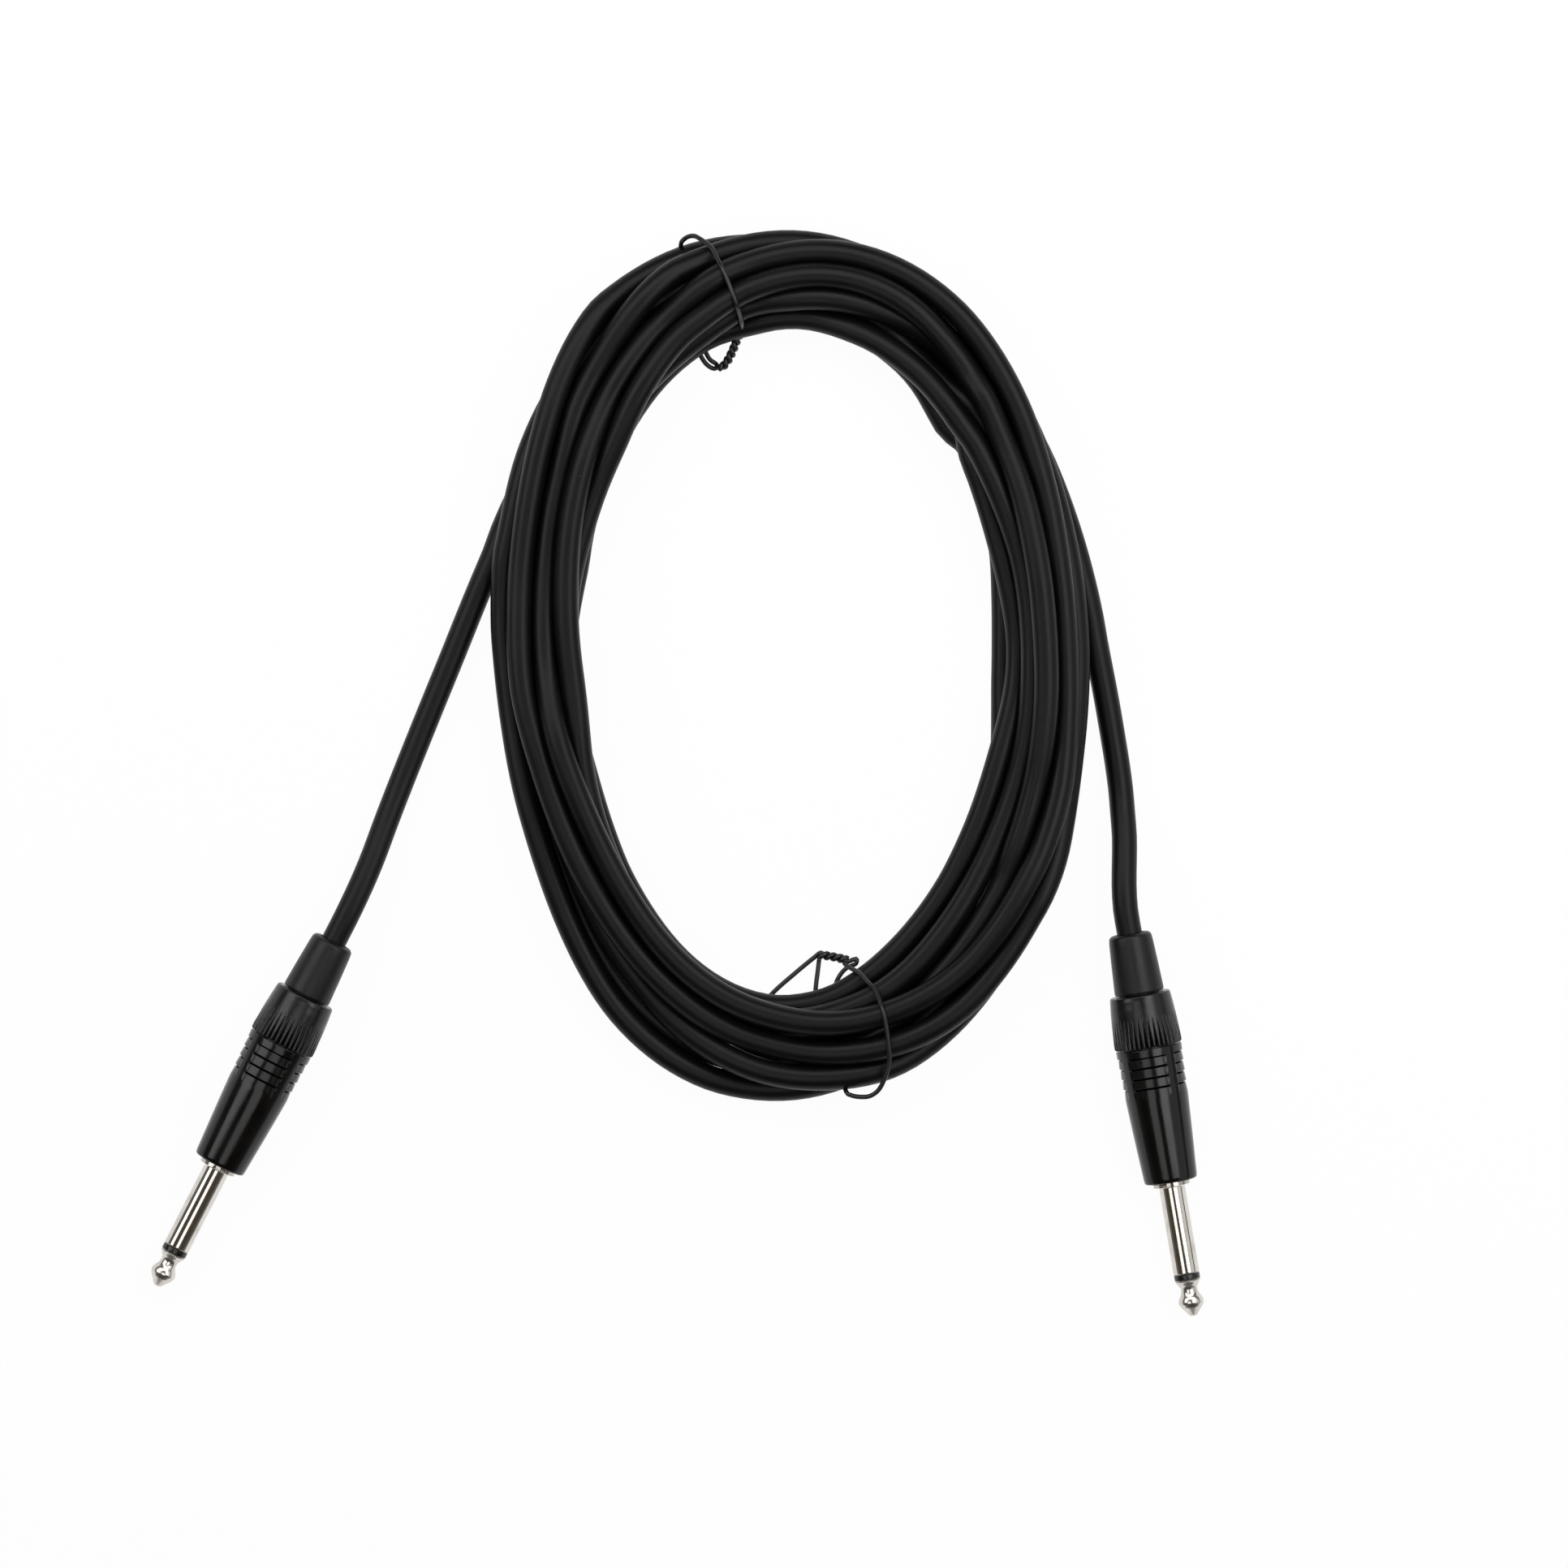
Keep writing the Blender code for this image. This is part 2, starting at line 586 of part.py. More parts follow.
def make_barrel(side, plug):
    """The tapered shell, with its grip grooves and the spigot for the nut."""
    def outer_r(s):
        return float(np.interp(s, (34.0, 38.3, 42.3, 48.5, 53.3, 63.2),
                               (6.5, 6.75, 7.0, 7.35, 7.6, 8.0)))

    profile = [(SPIGOT_R, SPIGOT_END), (SPIGOT_R, BARREL_END), (7.85, BARREL_END),
               (8.0, BARREL_END - 0.2)]
    for groove in reversed(GROOVES):
        profile += [(outer_r(groove), groove),
                    (outer_r(groove) - GROOVE_DEPTH, groove - 0.1),
                    (outer_r(groove - 2.2), groove - 2.2)]
    profile += [(outer_r(s), s) for s in (53.3, 48.5, 42.3, 38.3, 34.0)]
    profile += [(6.35, MOUTH + 0.2), (6.0, MOUTH), (4.5, MOUTH), (4.5, 35.2),
                (BARREL_BORE_R, 35.2), (BARREL_BORE_R, CORD_START), (5.6, CORD_START),
                (5.6, SPIGOT_END)]
    turned(f"barrel_{side}", profile, "satin black", plug)
    ring(f"liner_{side}", 5.2, BARREL_BORE_R - TOUCH_GAP, 36.0, 57.5, "clear film", plug)


def make_chuck(side, plug):
    """The collet round the cord, slotted from its rear end."""
    profile = ((4.6, 76.0), (5.3, 72.6), (5.3, CORD_START + 0.3),
               (CORD_BORE_R, CORD_START + 0.3), (CORD_BORE_R, 76.0))
    name = f"chuck_{side}"
    item = turned(name, profile, "white plastic", plug, 16)
    cross = bmesh.new()
    slot_start, slot_end = 67.0, 77.0
    for turn in (0.0, math.pi / 2):
        place = Matrix.Translation((0, 0, (slot_start + slot_end) / 2 * MM))
        size = Vector((12.0, 0.9, slot_end - slot_start)) * MM
        bmesh.ops.create_cube(
            cross, size=1.0,
            matrix=place @ Matrix.Rotation(turn + math.radians(11.25), 4, "Z")
            @ Matrix.Diagonal((*size, 1)))
    mesh = bpy.data.meshes.new(f"{name}_slots")
    cross.to_mesh(mesh)
    cross.free()
    combine(item, add_cutter(f"{name}_slots", mesh, plug), "DIFFERENCE")


def make_nut(side, plug):
    """The back nut. A star-shaped prism leaves flutes that deepen to the rim."""
    profile = (
        (6.9, NUT_END), (7.25, 78.9), (7.45, 78.0), (7.68, 76.0), (7.92, 73.0),
        (8.08, 70.0), (RIM_R, 68.0), (RIM_R, RIM), (7.9, BARREL_END + TOUCH_GAP),
        (SPIGOT_R + TOUCH_GAP, BARREL_END + TOUCH_GAP), (SPIGOT_R + TOUCH_GAP, 72.6),
        (5.7, 72.6), (5.7, 78.0), (4.9, 78.0), (4.9, NUT_END))
    name = f"back_nut_{side}"
    item = turned(name, profile, "satin black", plug)
    star = []
    for corner in range(2 * FLUTES):
        radius = FLUTE_CREST_R if corner % 2 else FLUTE_VALLEY_R
        angle = math.pi * corner / FLUTES
        star.append((radius * math.cos(angle), radius * math.sin(angle)))
    mesh = outline_mesh(f"{name}_star", star, 10)
    mesh.transform(Matrix.Translation((0, 0, 72 * MM)))
    combine(item, add_cutter(f"{name}_star", mesh, plug), "INTERSECT")


def make_boot(side, plug):
    """The rubber strain relief, its lip held inside the nut."""
    profile = (
        (CORD_BORE_R + 0.1, BOOT_END), (4.4, 93.9), (5.0, 93.4), (5.25, 92.6),
        (5.37, 91.5), (5.7, 86.0), (6.0, BOOT_START), (4.6, BOOT_START),
        (4.6, 77.7), (5.4, 77.7), (5.4, 76.6), (CORD_BORE_R, 76.6),
        (CORD_BORE_R, BOOT_END - 0.3))
    turned(f"boot_{side}", profile, "black rubber", plug)


def make_plug(side):
    plug = bpy.data.objects.new(f"plug_{side}", None)
    parts.objects.link(plug)
    place = plug_matrix(side)
    plug.location = place.translation * MM
    plug.rotation_euler = place.to_euler()
    plug.parent = ground
    for make in (make_tip, make_sleeve, make_wiring, make_barrel, make_chuck,
                 make_nut, make_boot):
        make(side, plug)


for item in list(bpy.data.objects):
    bpy.data.objects.remove(item, do_unlink=True)
parts = new_collection("instrument_cable")
cutters = new_collection("instrument_cable_cutters")
ground = bpy.data.objects.new("lead_origin", None)
parts.objects.link(ground)
ground.location = (-BOX_CENTRE[0] * MM, -BOX_CENTRE[1] * MM, 0.0)

coil = coil_points()
make_coil(coil)
tails = {
    "a": tail_points("a", coil[-1], unit(coil[-1] - coil[-2])),
    "b": tail_points("b", coil[0], unit(coil[0] - coil[1])),
}
for side, points in tails.items():
    make_tail(side, points)
for side in PLUGS:
    make_plug(side)
for name, tie in TIES.items():
    wire = tie_points(tie, coil)
    make_tie(name, wire)
    print(f"tie_{name}: least gap to itself {least_gap(wire, WIRE_D, 4 * WIRE_D):.2f} mm")
for item in parts.objects:
    if item.parent is None and item is not ground:
        item.parent = ground
for item in cutters.objects:
    if item.parent is None:
        item.parent = ground

total = length_of(coil) + sum(length_of(points) for points in tails.values())
print(f"cord_coil: least gap to itself {least_gap(coil, CORD_D, 100):.2f} mm")
print(f"cord: {total / 1000:.2f} m from plug to plug")
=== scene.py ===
"""An instrument lead, coiled in an oval and tied twice, seen from straight above.

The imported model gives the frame. The visible pieces are made here in more detail:
the cord, the wire ties, and each plug's turned, grooved and fluted parts. Sizes
are in millimetres and become metres where a mesh is made.
"""

import math

import bpy
import numpy as np
from mathutils import Euler, Matrix, Vector


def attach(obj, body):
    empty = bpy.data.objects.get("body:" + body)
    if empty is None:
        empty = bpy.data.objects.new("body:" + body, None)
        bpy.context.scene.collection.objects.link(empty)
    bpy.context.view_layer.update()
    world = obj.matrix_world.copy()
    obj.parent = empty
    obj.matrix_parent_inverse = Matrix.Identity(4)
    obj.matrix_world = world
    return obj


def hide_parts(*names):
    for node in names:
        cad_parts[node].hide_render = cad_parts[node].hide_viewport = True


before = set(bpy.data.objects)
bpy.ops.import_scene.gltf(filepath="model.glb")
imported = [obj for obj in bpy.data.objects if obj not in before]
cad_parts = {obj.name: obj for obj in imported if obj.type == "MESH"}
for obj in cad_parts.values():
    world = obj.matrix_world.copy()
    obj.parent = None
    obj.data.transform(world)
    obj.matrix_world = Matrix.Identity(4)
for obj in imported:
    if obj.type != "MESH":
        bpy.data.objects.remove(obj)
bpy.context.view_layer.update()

MM = 0.001

# ---------------------------------------------------------------- sizes

# Where the lead lies: the oval coil's frame is moved so that the whole lead's
# middle is at the origin
BOX_CENTRE = (-26.95, -25.29)

CORD_D = 6.1
CORD_R = CORD_D / 2
CORD_REST_Z = CORD_R + 0.02
CORD_BEVEL = 8               # fineness of the round section
CORD_STEP = 3.0              # between two points of the route

OVAL_HALF_WIDTH = 61.2
OVAL_HALF_LENGTH = 92.6
OVAL_TILT = math.radians(1.2)
OVAL_CENTRE = (0.0, 1.5)
STATION_ANGLE = 30           # degrees between two stations of the table
POINTS_PER_TURN = 72
POINT_ANGLE = 360 / POINTS_PER_TURN
TURN_SPACING = 1.01          # least distance between turns, in cord diameters
LAYER_STEP = 0.9             # rise from one layer to the next, in cord diameters
COIL_END_ANGLE = 165         # where the last turn leaves the bundle

# The route of the coil. Each pair is the cord's place at the next station: its
# lane across the bundle, outward from the oval in cord diameters, and the layer
# that it lies in before the turns settle on each other.
STATIONS_BEFORE = ((4.3, 0),)
TURNS = (
    ((2.22, 0), (1.1, 0), (1, 0), (0.85, 0), (2.51, 1),
     (1.11, 2), (0.45, 2), (-0.2, 2), (-0.18, 2),
     (-0.04, 2), (2.13, 2), (1.06, 2)),
    ((1.43, 1.5), (1.4, 1), (1.3, 1), (1.23, 1.5), (1.38, 2),
     (-0.06, 2), (-0.55, 2), (-1.35, 2), (-1.13, 2),
     (-1.18, 2), (0.41, 2), (1.57, 2.5)),
    ((0.66, 3), (1.27, 2), (1.93, 2), (0.8, 2), (-0.38, 2),
     (-0.64, 2), (-1.07, 1.5), (-1.21, 1), (-1, 1),
     (-0.9, 1), (-0.78, 1.5), (-0.78, 2)),
    ((-0.31, 2), (-0.49, 2), (-1.18, 2), (-1.65, 1), (-1.3, 0),
     (-1, 0), (-0.8, 0), (-0.6, 0), (-0.5, 0),
     (-0.2, 0), (-0.3, 0), (-1, 0)),
    ((-1.66, 0), (-0.5, 0), (-1.07, 0), (-0.9, 0), (0.05, 0),
     (0.55, 0), (0.3, 0), (-0.32, 0), (0.57, 1),
     (1.44, 1.5), (1.89, 1), (1.1, 1)),
    ((-0.1, 0), (-0.14, 0), (-0.69, 0.5), (-0.45, 0), (0.97, 0),
     (1.77, 1), (1.06, 0.8), (0.7, 1), (2.18, 1),
     (2.01, 0.7), (0.85, 0), (0.8, 0)),
    ((0.9, 0), (0.6, 0), (-0.24, 1), (-0.6, 1.5), (-1.53, 1),
     (-0.8, 0.5), (-0.3, 0), (0.55, 0), (1.55, 0),
     (0.82, 0), (-0.26, 1), (0.3, 2)),
    ((-0.11, 3), (0.06, 3), (0.84, 2), (-0.35, 2), (-0.64, 2),
     (-1.25, 1), (-0.9, 0.5), (-0.99, 0), (-0.86, 0.5),
     (-1.22, 0), (-1.94, 1), (-1.55, 1)),
    ((-0.48, 1), (-1.34, 0.6), (0.1, 0), (-0.3, 0.3), (0.4, 0),
     (1.18, 0), (3.1, 0)),
)
STATIONS_AFTER = ((7.1, 0),)
SETTLE_STEPS = 500
SETTLE_LAST = 60             # last steps, in which the turns are only parted
SMOOTHING_ROUNDS = 6
LANE_PULL = 0.12             # part of the way back to its lane that a turn takes
SINKING = 0.02               # how far it falls in a step, in cord diameters
LANE_SMOOTHING = 0.3
HEIGHT_SMOOTHING = 0.35
SIDEWAYS_SHARE = 0.35        # of a push that parts two turns sideways
END_POINTS = 4               # points of the coil that give its direction at an end

WIRE_D = 1.15
WIRE_R = WIRE_D / 2
WIRE_REST_Z = WIRE_R + 0.05
WIRE_BEVEL = 4
STRAND_STEP = 0.8            # between the points of the coil that hold the wires off
DRAPE_STEP = 0.7             # between the points of a wire drawn over the coil
TIE_CLEARANCE = 0.12
TIE_LIFT = 1.4               # rise of the bundle over a tie
TIE_LIFT_FULL = 20           # degrees either side of a tie at the full rise
TIE_LIFT_NONE = 50
TWIST_PITCH = 3.4
TWIST_RADIUS = WIRE_R + 0.04
TWIST_STEP = 0.25            # between the points of a strand, before they are thinned
TWIST_THINNING = 3           # one point in so many is kept
OVER_RISE = 0.4              # of the loop over the strand that it starts from
# Each tie as seen from above: over the bundle from the twist to the outer side,
# back under it, the twist's own line (x, y, z), and the two legs beyond it
TIES = {
    "top": dict(
        angle=106,
        over=((-11.5, 81.0), (-11.4, 82.6), (-12.0, 84.9), (-13.3, 88.8),
              (-15.3, 93.9), (-17.3, 98.0), (-18.6, 100.6), (-20.8, 102.5),
              (-23.2, 103.8), (-25.4, 103.0), (-26.4, 101.2)),
        under=((-26.2, 98.5), (-23.8, 90.0), (-21.4, 81.5), (-19.4, 77.6),
               (-17.8, 78.2), (-16.3, 79.6), (-14.4, 80.7)),
        twist=((-12.3, 79.9, 4.6), (-13.3, 77.1, 3.2), (-14.4, 74.8, 2.2),
               (-15.5, 73.1, 1.6), (-16.8, 72.3, 1.35)),
        legs=(((-18.1, 72.1), (-19.7, 72.9), (-21.0, 74.5), (-22.4, 77.2)),
              ((-17.7, 73.3), (-18.9, 74.1), (-19.8, 75.3), (-20.8, 77.6)))),
    "bottom": dict(
        angle=290,
        over=((13.4, -71.9), (14.6, -73.0), (17.1, -74.3), (19.2, -76.5),
              (21.1, -78.8), (22.3, -82.0), (23.1, -85.1), (23.7, -88.7),
              (24.1, -92.5), (24.1, -95.5), (23.2, -99.2), (21.7, -102.3),
              (19.5, -103.9), (17.1, -104.1), (14.9, -103.7), (13.3, -102.4)),
        under=((12.6, -99.0), (12.0, -91.0), (11.4, -83.0), (11.3, -77.5),
               (12.7, -74.5), (14.3, -73.0), (15.9, -72.4), (16.6, -71.4),
               (15.7, -70.5)),
        twist=((14.0, -71.2, 2.7), (11.7, -70.7, 2.1), (9.6, -70.3, 1.7),
               (7.6, -70.1, 1.35)),
        legs=(((6.2, -70.6), (3.6, -72.7), (1.0, -74.9), (-2.6, -78.0), (-5.4, -80.8)),
              ((7.3, -71.4), (7.0, -73.9), (6.6, -77.0), (6.3, -80.2)))),
}

# Plug, measured along its axis from the tip point
TIP_JOINT = 8.9
SHANK_JOINT = 10.45
JOINT_GAP = 0.12             # from a joint's middle to the piece on either side
SHANK_R = 3.175
FLANGE_R = 4.55
MOUTH = 33.2
MOUTH_R = 6.5
MOUTH_ROUNDING = 0.5
BARREL_WALL_R = 6.4          # the grooves leave what is nearer to the axis alone
BARREL_STEPS = 256
BARREL_END = 66.15
BORE_STEP = 58.0             # where the barrel's bore narrows
GROOVES = (56.76, 59.29, 61.82, 64.35)  # the head of each, toward the nut
GROOVE_DEPTH = 0.22          # of the slope that runs out toward the mouth
SLOT_DEPTH = 0.8             # of the narrow slot at the head of each slope
SLOT_WIDTH = 0.4
GROOVE_PATCHES = 4
GROOVE_BRIDGE = 0.065        # part of the turn left plain between two patches
PATCH_EDGE = 0.05            # part of half a patch, over which its grooves run out
TOP_TURN = 0.25              # where the top of a plug is, as part of a turn
# Degrees from the top of the barrel to the first plain bridge
BRIDGE_ANGLES = {"a": 44.5, "b": 36}
RIM = 66.8
RIM_R = 8.2
NUT_END = 79.2
BOOT_START = 79.5
BOOT_END = 94.0
CORD_START = 58.0            # the cord's end inside the barrel
FLUTES = 40
FLUTE_STEPS = 10             # round one flute
FLUTE_VALLEY_R = 7.45
FLUTE_CREST_R = 8.45
FLUTE_SLOPE = 0.055          # how fast the flutes run out toward the rear
FLUTE_ROUNDING = 0.12
NUT_WALL_R = 7.0             # the flutes leave what is nearer to the axis alone
NUT_SHARP_ANGLE = 50
NUT_TRAVEL = 5.0
STRAIGHT_END = BOOT_END + NUT_TRAVEL + 1.5
STRAIGHT_LEAD = 10           # of the straight cord that gives the tail its direction
TURNED_STEPS = 128
SHARP_ANGLE = 35             # degrees past which an edge is shaded sharp
CORNER_STEPS = 4             # in a profile's rounded corner
CORNER_SHARE = 0.45          # of a side, the most that a rounding takes
MERGE_DISTANCE = 0.01        # nearer points of a turned piece become one

PLUGS = {
    "a": ((-153.05, -150.0), math.radians(27.3)),
    "b": ((97.95, -157.3), math.radians(-9.6)),
}
# A plug rests on its mouth's rim and its nut's rim, so its tip is lower
PLUG_REST_GAP = 0.15
PITCH = math.atan((RIM_R - MOUTH_R) / (RIM - MOUTH - MOUTH_ROUNDING))
TIP_HEIGHT = (MOUTH_R * math.cos(PITCH) - (MOUTH + MOUTH_ROUNDING) * math.sin(PITCH)
              + PLUG_REST_GAP)
TAIL_ROUTES = {
    "a": ((-104.0, -54.4, 9.3), (-100.9, -47.1, 7.6), (-97.2, -36.9, 5.0),
          (-93.6, -27.5, 3.5), (-88.9, -15.7, CORD_REST_Z),
          (-82.5, 0.0, CORD_REST_Z)),
    "b": ((81.0, -50.5, 8.6), (81.2, -42.5, 6.4), (80.6, -33.5, 4.2),
          (79.5, -23.5, CORD_REST_Z)),
}

# ---------------------------------------------------------------- camera

FRAME_WIDTH = 378.8          # what the picture spans at the coil
FRAME_HEIGHT = 10            # the height above the table at which it spans that
CAMERA_HEIGHT = 2500.0
CAMERA_REACH = 20            # metres
VIEW_CENTRE = (-1.2, -28.6)  # the picture's middle in the coil's frame
SENSOR_WIDTH = 36.0


def add_camera():
    camera = bpy.data.cameras.new("camera")
    camera.sensor_width = SENSOR_WIDTH
    camera.sensor_fit = "HORIZONTAL"
    camera.lens = SENSOR_WIDTH * (CAMERA_HEIGHT - FRAME_HEIGHT) / FRAME_WIDTH
    camera.clip_end = CAMERA_REACH
    item = bpy.data.objects.new("camera", camera)
    bpy.context.scene.collection.objects.link(item)
    x, y = (Vector(VIEW_CENTRE) - Vector(BOX_CENTRE)) * MM
    item.location = (x, y, CAMERA_HEIGHT * MM)
    bpy.context.scene.camera = item


# ---------------------------------------------------------------- routes

def smooth_through(points, steps):
    """A smooth curve through the points, each span in equal steps. The first
    and the last point only set the directions at the ends."""
    points = np.array(points, float)
    curve = []
    for before, start, end, after in zip(points, points[1:], points[2:], points[3:]):
        for step in range(steps):
            f = step / steps
            linear = (end - before) * f
            square = (2 * before - 5 * start + 4 * end - after) * f ** 2
            cubic = (3 * start - before - 3 * end + after) * f ** 3
            curve.append(start + 0.5 * (linear + square + cubic))
    curve.append(points[-2])
    return np.array(curve)


def spans(points):
    """The distance from each point to the next."""
    return np.linalg.norm(np.diff(points, axis=0), axis=1)


def even_points(curve, step):
    """Points at even distances along a finely divided curve."""
    run = np.concatenate(([0.0], np.cumsum(spans(curve))))
    places = np.linspace(0.0, run[-1], max(2, round(run[-1] / step) + 1))
    return np.column_stack([np.interp(places, run, curve[:, axis]) for axis in range(3)])


def oval_place(angle, lane):
    """The point (x, y) at an angle of the oval and a lane outward from it."""
    t = math.radians(angle)
    point = Vector((OVAL_HALF_WIDTH * math.cos(t), OVAL_HALF_LENGTH * math.sin(t)))
    normal = Vector((OVAL_HALF_LENGTH * math.cos(t), OVAL_HALF_WIDTH * math.sin(t)))
    point += normal.normalized() * lane * CORD_D
    return Matrix.Rotation(OVAL_TILT, 2) @ point + Vector(OVAL_CENTRE)


def tie_lift(angle):
    """How far the bundle is raised at this angle, over the nearer tie."""
    lifts = [0.0]
    for tie in TIES.values():
        away = abs((angle - tie["angle"] + 180) % 360 - 180)
        part = (TIE_LIFT_NONE - away) / (TIE_LIFT_NONE - TIE_LIFT_FULL)
        part = min(max(part, 0.0), 1.0)
        lifts.append(TIE_LIFT * part * part * (3 - 2 * part))
    return max(lifts)


def ease(values, share):
    """Draws each inner value toward its neighbours."""
    values[1:-1] += share * ((values[:-2] + values[2:]) / 2 - values[1:-1])


def part_turns(lane, height):
    """Pushes apart the turns that come too close, more upward than sideways.
    Each of the two takes half of the push."""
    for turns in range(1, len(TURNS)):
        first = np.arange(len(lane) - turns * POINTS_PER_TURN)
        second = first + turns * POINTS_PER_TURN
        across = lane[second] - lane[first]
        up = height[second] - height[first]
        distance = np.hypot(across, up) + 1e-9
        push = 0.5 * np.maximum(0, TURN_SPACING - distance)
        sideways = SIDEWAYS_SHARE * push * across / distance
        upward = push * up / distance
        lane[first] -= sideways
        lane[second] += sideways
        height[first] -= upward
        height[second] += upward


def settle_turns():
    """Lane and height of each point, once the turns have sunk onto each other."""
    stations = STATIONS_BEFORE + sum(TURNS, ()) + STATIONS_AFTER
    count = round(((len(TURNS) - 1) * 360 + COIL_END_ANGLE) / POINT_ANGLE) + 1
    guide = smooth_through(stations, POINTS_PER_TURN * STATION_ANGLE // 360)[:count]
    floor = np.array([tie_lift(POINT_ANGLE * i) / CORD_D for i in range(count)])
    lane = guide[:, 0].copy()
    height = guide[:, 1] * LAYER_STEP
    for step in range(SETTLE_STEPS):
        if step < SETTLE_STEPS - SETTLE_LAST:
            lane += LANE_PULL * (guide[:, 0] - lane)
            height -= SINKING
            for _ in range(SMOOTHING_ROUNDS):
                ease(lane, LANE_SMOOTHING)
                ease(height, HEIGHT_SMOOTHING)
        height = np.maximum(height, floor)
        part_turns(lane, height)
    return lane, np.maximum(height, floor)


def coil_points():
    """The coil's centreline, from the right plug's side to the left plug's."""
    lane, height = settle_turns()
    return np.array([(*oval_place(POINT_ANGLE * index, lane[index]),
                      CORD_REST_Z + height[index] * CORD_D)
                     for index in range(len(lane))])


def plug_matrix(side):
    """Turns the plug's +Z to its heading, pitched so that it rests on two rims."""
    (x, y), heading = PLUGS[side]
    rotation = Euler((PITCH - math.pi / 2, 0.0, -heading)).to_matrix().to_4x4()
    return Matrix.Translation((x, y, TIP_HEIGHT)) @ rotation


def tail_points(side, coil_end, coil_before):
    """From inside the plug, straight out of the boot, and down to the coil."""
    place = plug_matrix(side)
    start = place @ Vector((0, 0, CORD_START))
    behind = place @ Vector((0, 0, STRAIGHT_END - STRAIGHT_LEAD))
    straight = place @ Vector((0, 0, STRAIGHT_END))
    route = [behind, straight, *TAIL_ROUTES[side], coil_end, coil_before]
    return np.vstack((start, smooth_through(route, steps=12)[:-1]))


def cord_points():
    """The coil, and the whole cord from the right plug through it to the left one."""
    coil = coil_points()
    first = tail_points("b", coil[0], coil[END_POINTS])
    last = tail_points("a", coil[-1], coil[-1 - END_POINTS])
    whole = even_points(np.vstack((first, coil, last[::-1])), CORD_STEP * 2)
    route = even_points(smooth_through(whole, steps=4), CORD_STEP)
    route[:, 2] = np.maximum(route[:, 2], CORD_REST_Z)
    return coil, route


def to_part(points):
    """From the coil's frame in millimetres to the part's in metres."""
    offset = np.array((*BOX_CENTRE, 0.0))
    return (np.array(points) - offset) * MM


# ---------------------------------------------------------------- shader groups

def new_group(name, inputs, outputs):
    """A shader node group with its input and output nodes."""
    group = bpy.data.node_groups.new(name, "ShaderNodeTree")
    for label, kind, value in inputs:
        socket = group.interface.new_socket(label, in_out="INPUT", socket_type=kind)
        if value is not None:
            socket.default_value = value
    for label, kind in outputs:
        group.interface.new_socket(label, in_out="OUTPUT", socket_type=kind)
    return group, group.nodes.new("NodeGroupInput"), group.nodes.new("NodeGroupOutput")


def noise(nodes, links, vector, scale, detail, roughness=0.5):
    node = nodes.new("ShaderNodeTexNoise")
    node.inputs["Detail"].default_value = detail
    node.inputs["Roughness"].default_value = roughness
    if isinstance(scale, float):
        node.inputs["Scale"].default_value = scale
    else:
        links.new(scale, node.inputs["Scale"])
    links.new(vector, node.inputs["Vector"])
    return node.outputs["Fac"]


def math_node(nodes, links, operation, first, second=None):
    node = nodes.new("ShaderNodeMath")
    node.operation = operation
    for socket, value in zip(node.inputs, (first, second)):
        if value is None:
            continue
        if isinstance(value, (int, float)):
            socket.default_value = value
        else:
            links.new(value, socket)
    return node.outputs["Value"]


def between(nodes, links, value, low, high, to_low=0.0, to_high=1.0):
    """Carries a value from one range to another, held inside it."""
    node = nodes.new("ShaderNodeMapRange")
    links.new(value, node.inputs["Value"])
    for label, number in (("From Min", low), ("From Max", high),
                          ("To Min", to_low), ("To Max", to_high)):
        if isinstance(number, (int, float)):
            node.inputs[label].default_value = number
        else:
            links.new(number, node.inputs[label])
    return node.outputs["Result"]


def folded(nodes, links, value):
    """Folds a value between 0 and 1: it is 1 at both ends and 0 in the middle."""
    twice = math_node(nodes, links, "MULTIPLY", value, 2.0)
    return math_node(nodes, links, "ABSOLUTE",
                     math_node(nodes, links, "SUBTRACT", twice, 1.0))


def make_grain_group():
    """Fine moulded grain: an uneven value and a height for Bump."""
    group, start, end = new_group(
        "moulded_grain",
        (("Vector", "NodeSocketVector", None), ("Grain Scale", "NodeSocketFloat", 4000.0),
         ("Patch Scale", "NodeSocketFloat", 120.0)),
        (("Patches", "NodeSocketFloat"), ("Height", "NodeSocketFloat")))
    nodes, links = group.nodes, group.links
    for label, scale in (("Patches", "Patch Scale"), ("Height", "Grain Scale")):
        links.new(noise(nodes, links, start.outputs["Vector"], start.outputs[scale], 3.0),
                  end.inputs[label])
    return group


def make_dust_group():
    """Scattered specks of dust: a mask that is 1 on a speck."""
    group, start, end = new_group(
        "dust",
        (("Vector", "NodeSocketVector", None), ("Cell Scale", "NodeSocketFloat", 300.0),
         ("Share", "NodeSocketFloat", 0.03), ("Size", "NodeSocketFloat", 0.12)),
        (("Mask", "NodeSocketFloat"),))
    nodes, links = group.nodes, group.links
    cells = nodes.new("ShaderNodeTexVoronoi")
    cells.feature = "F1"
    links.new(start.outputs["Vector"], cells.inputs["Vector"])
    links.new(start.outputs["Cell Scale"], cells.inputs["Scale"])
    split = nodes.new("ShaderNodeSeparateColor")
    links.new(cells.outputs["Color"], split.inputs["Color"])
    chosen = math_node(nodes, links, "LESS_THAN",
                       split.outputs["Red"], start.outputs["Share"])
    size = math_node(nodes, links, "MULTIPLY",
                     split.outputs["Green"], start.outputs["Size"])
    inside = math_node(nodes, links, "LESS_THAN", cells.outputs["Distance"], size)
    mask = math_node(nodes, links, "MULTIPLY", chosen, inside)
    links.new(mask, end.inputs["Mask"])
    return group


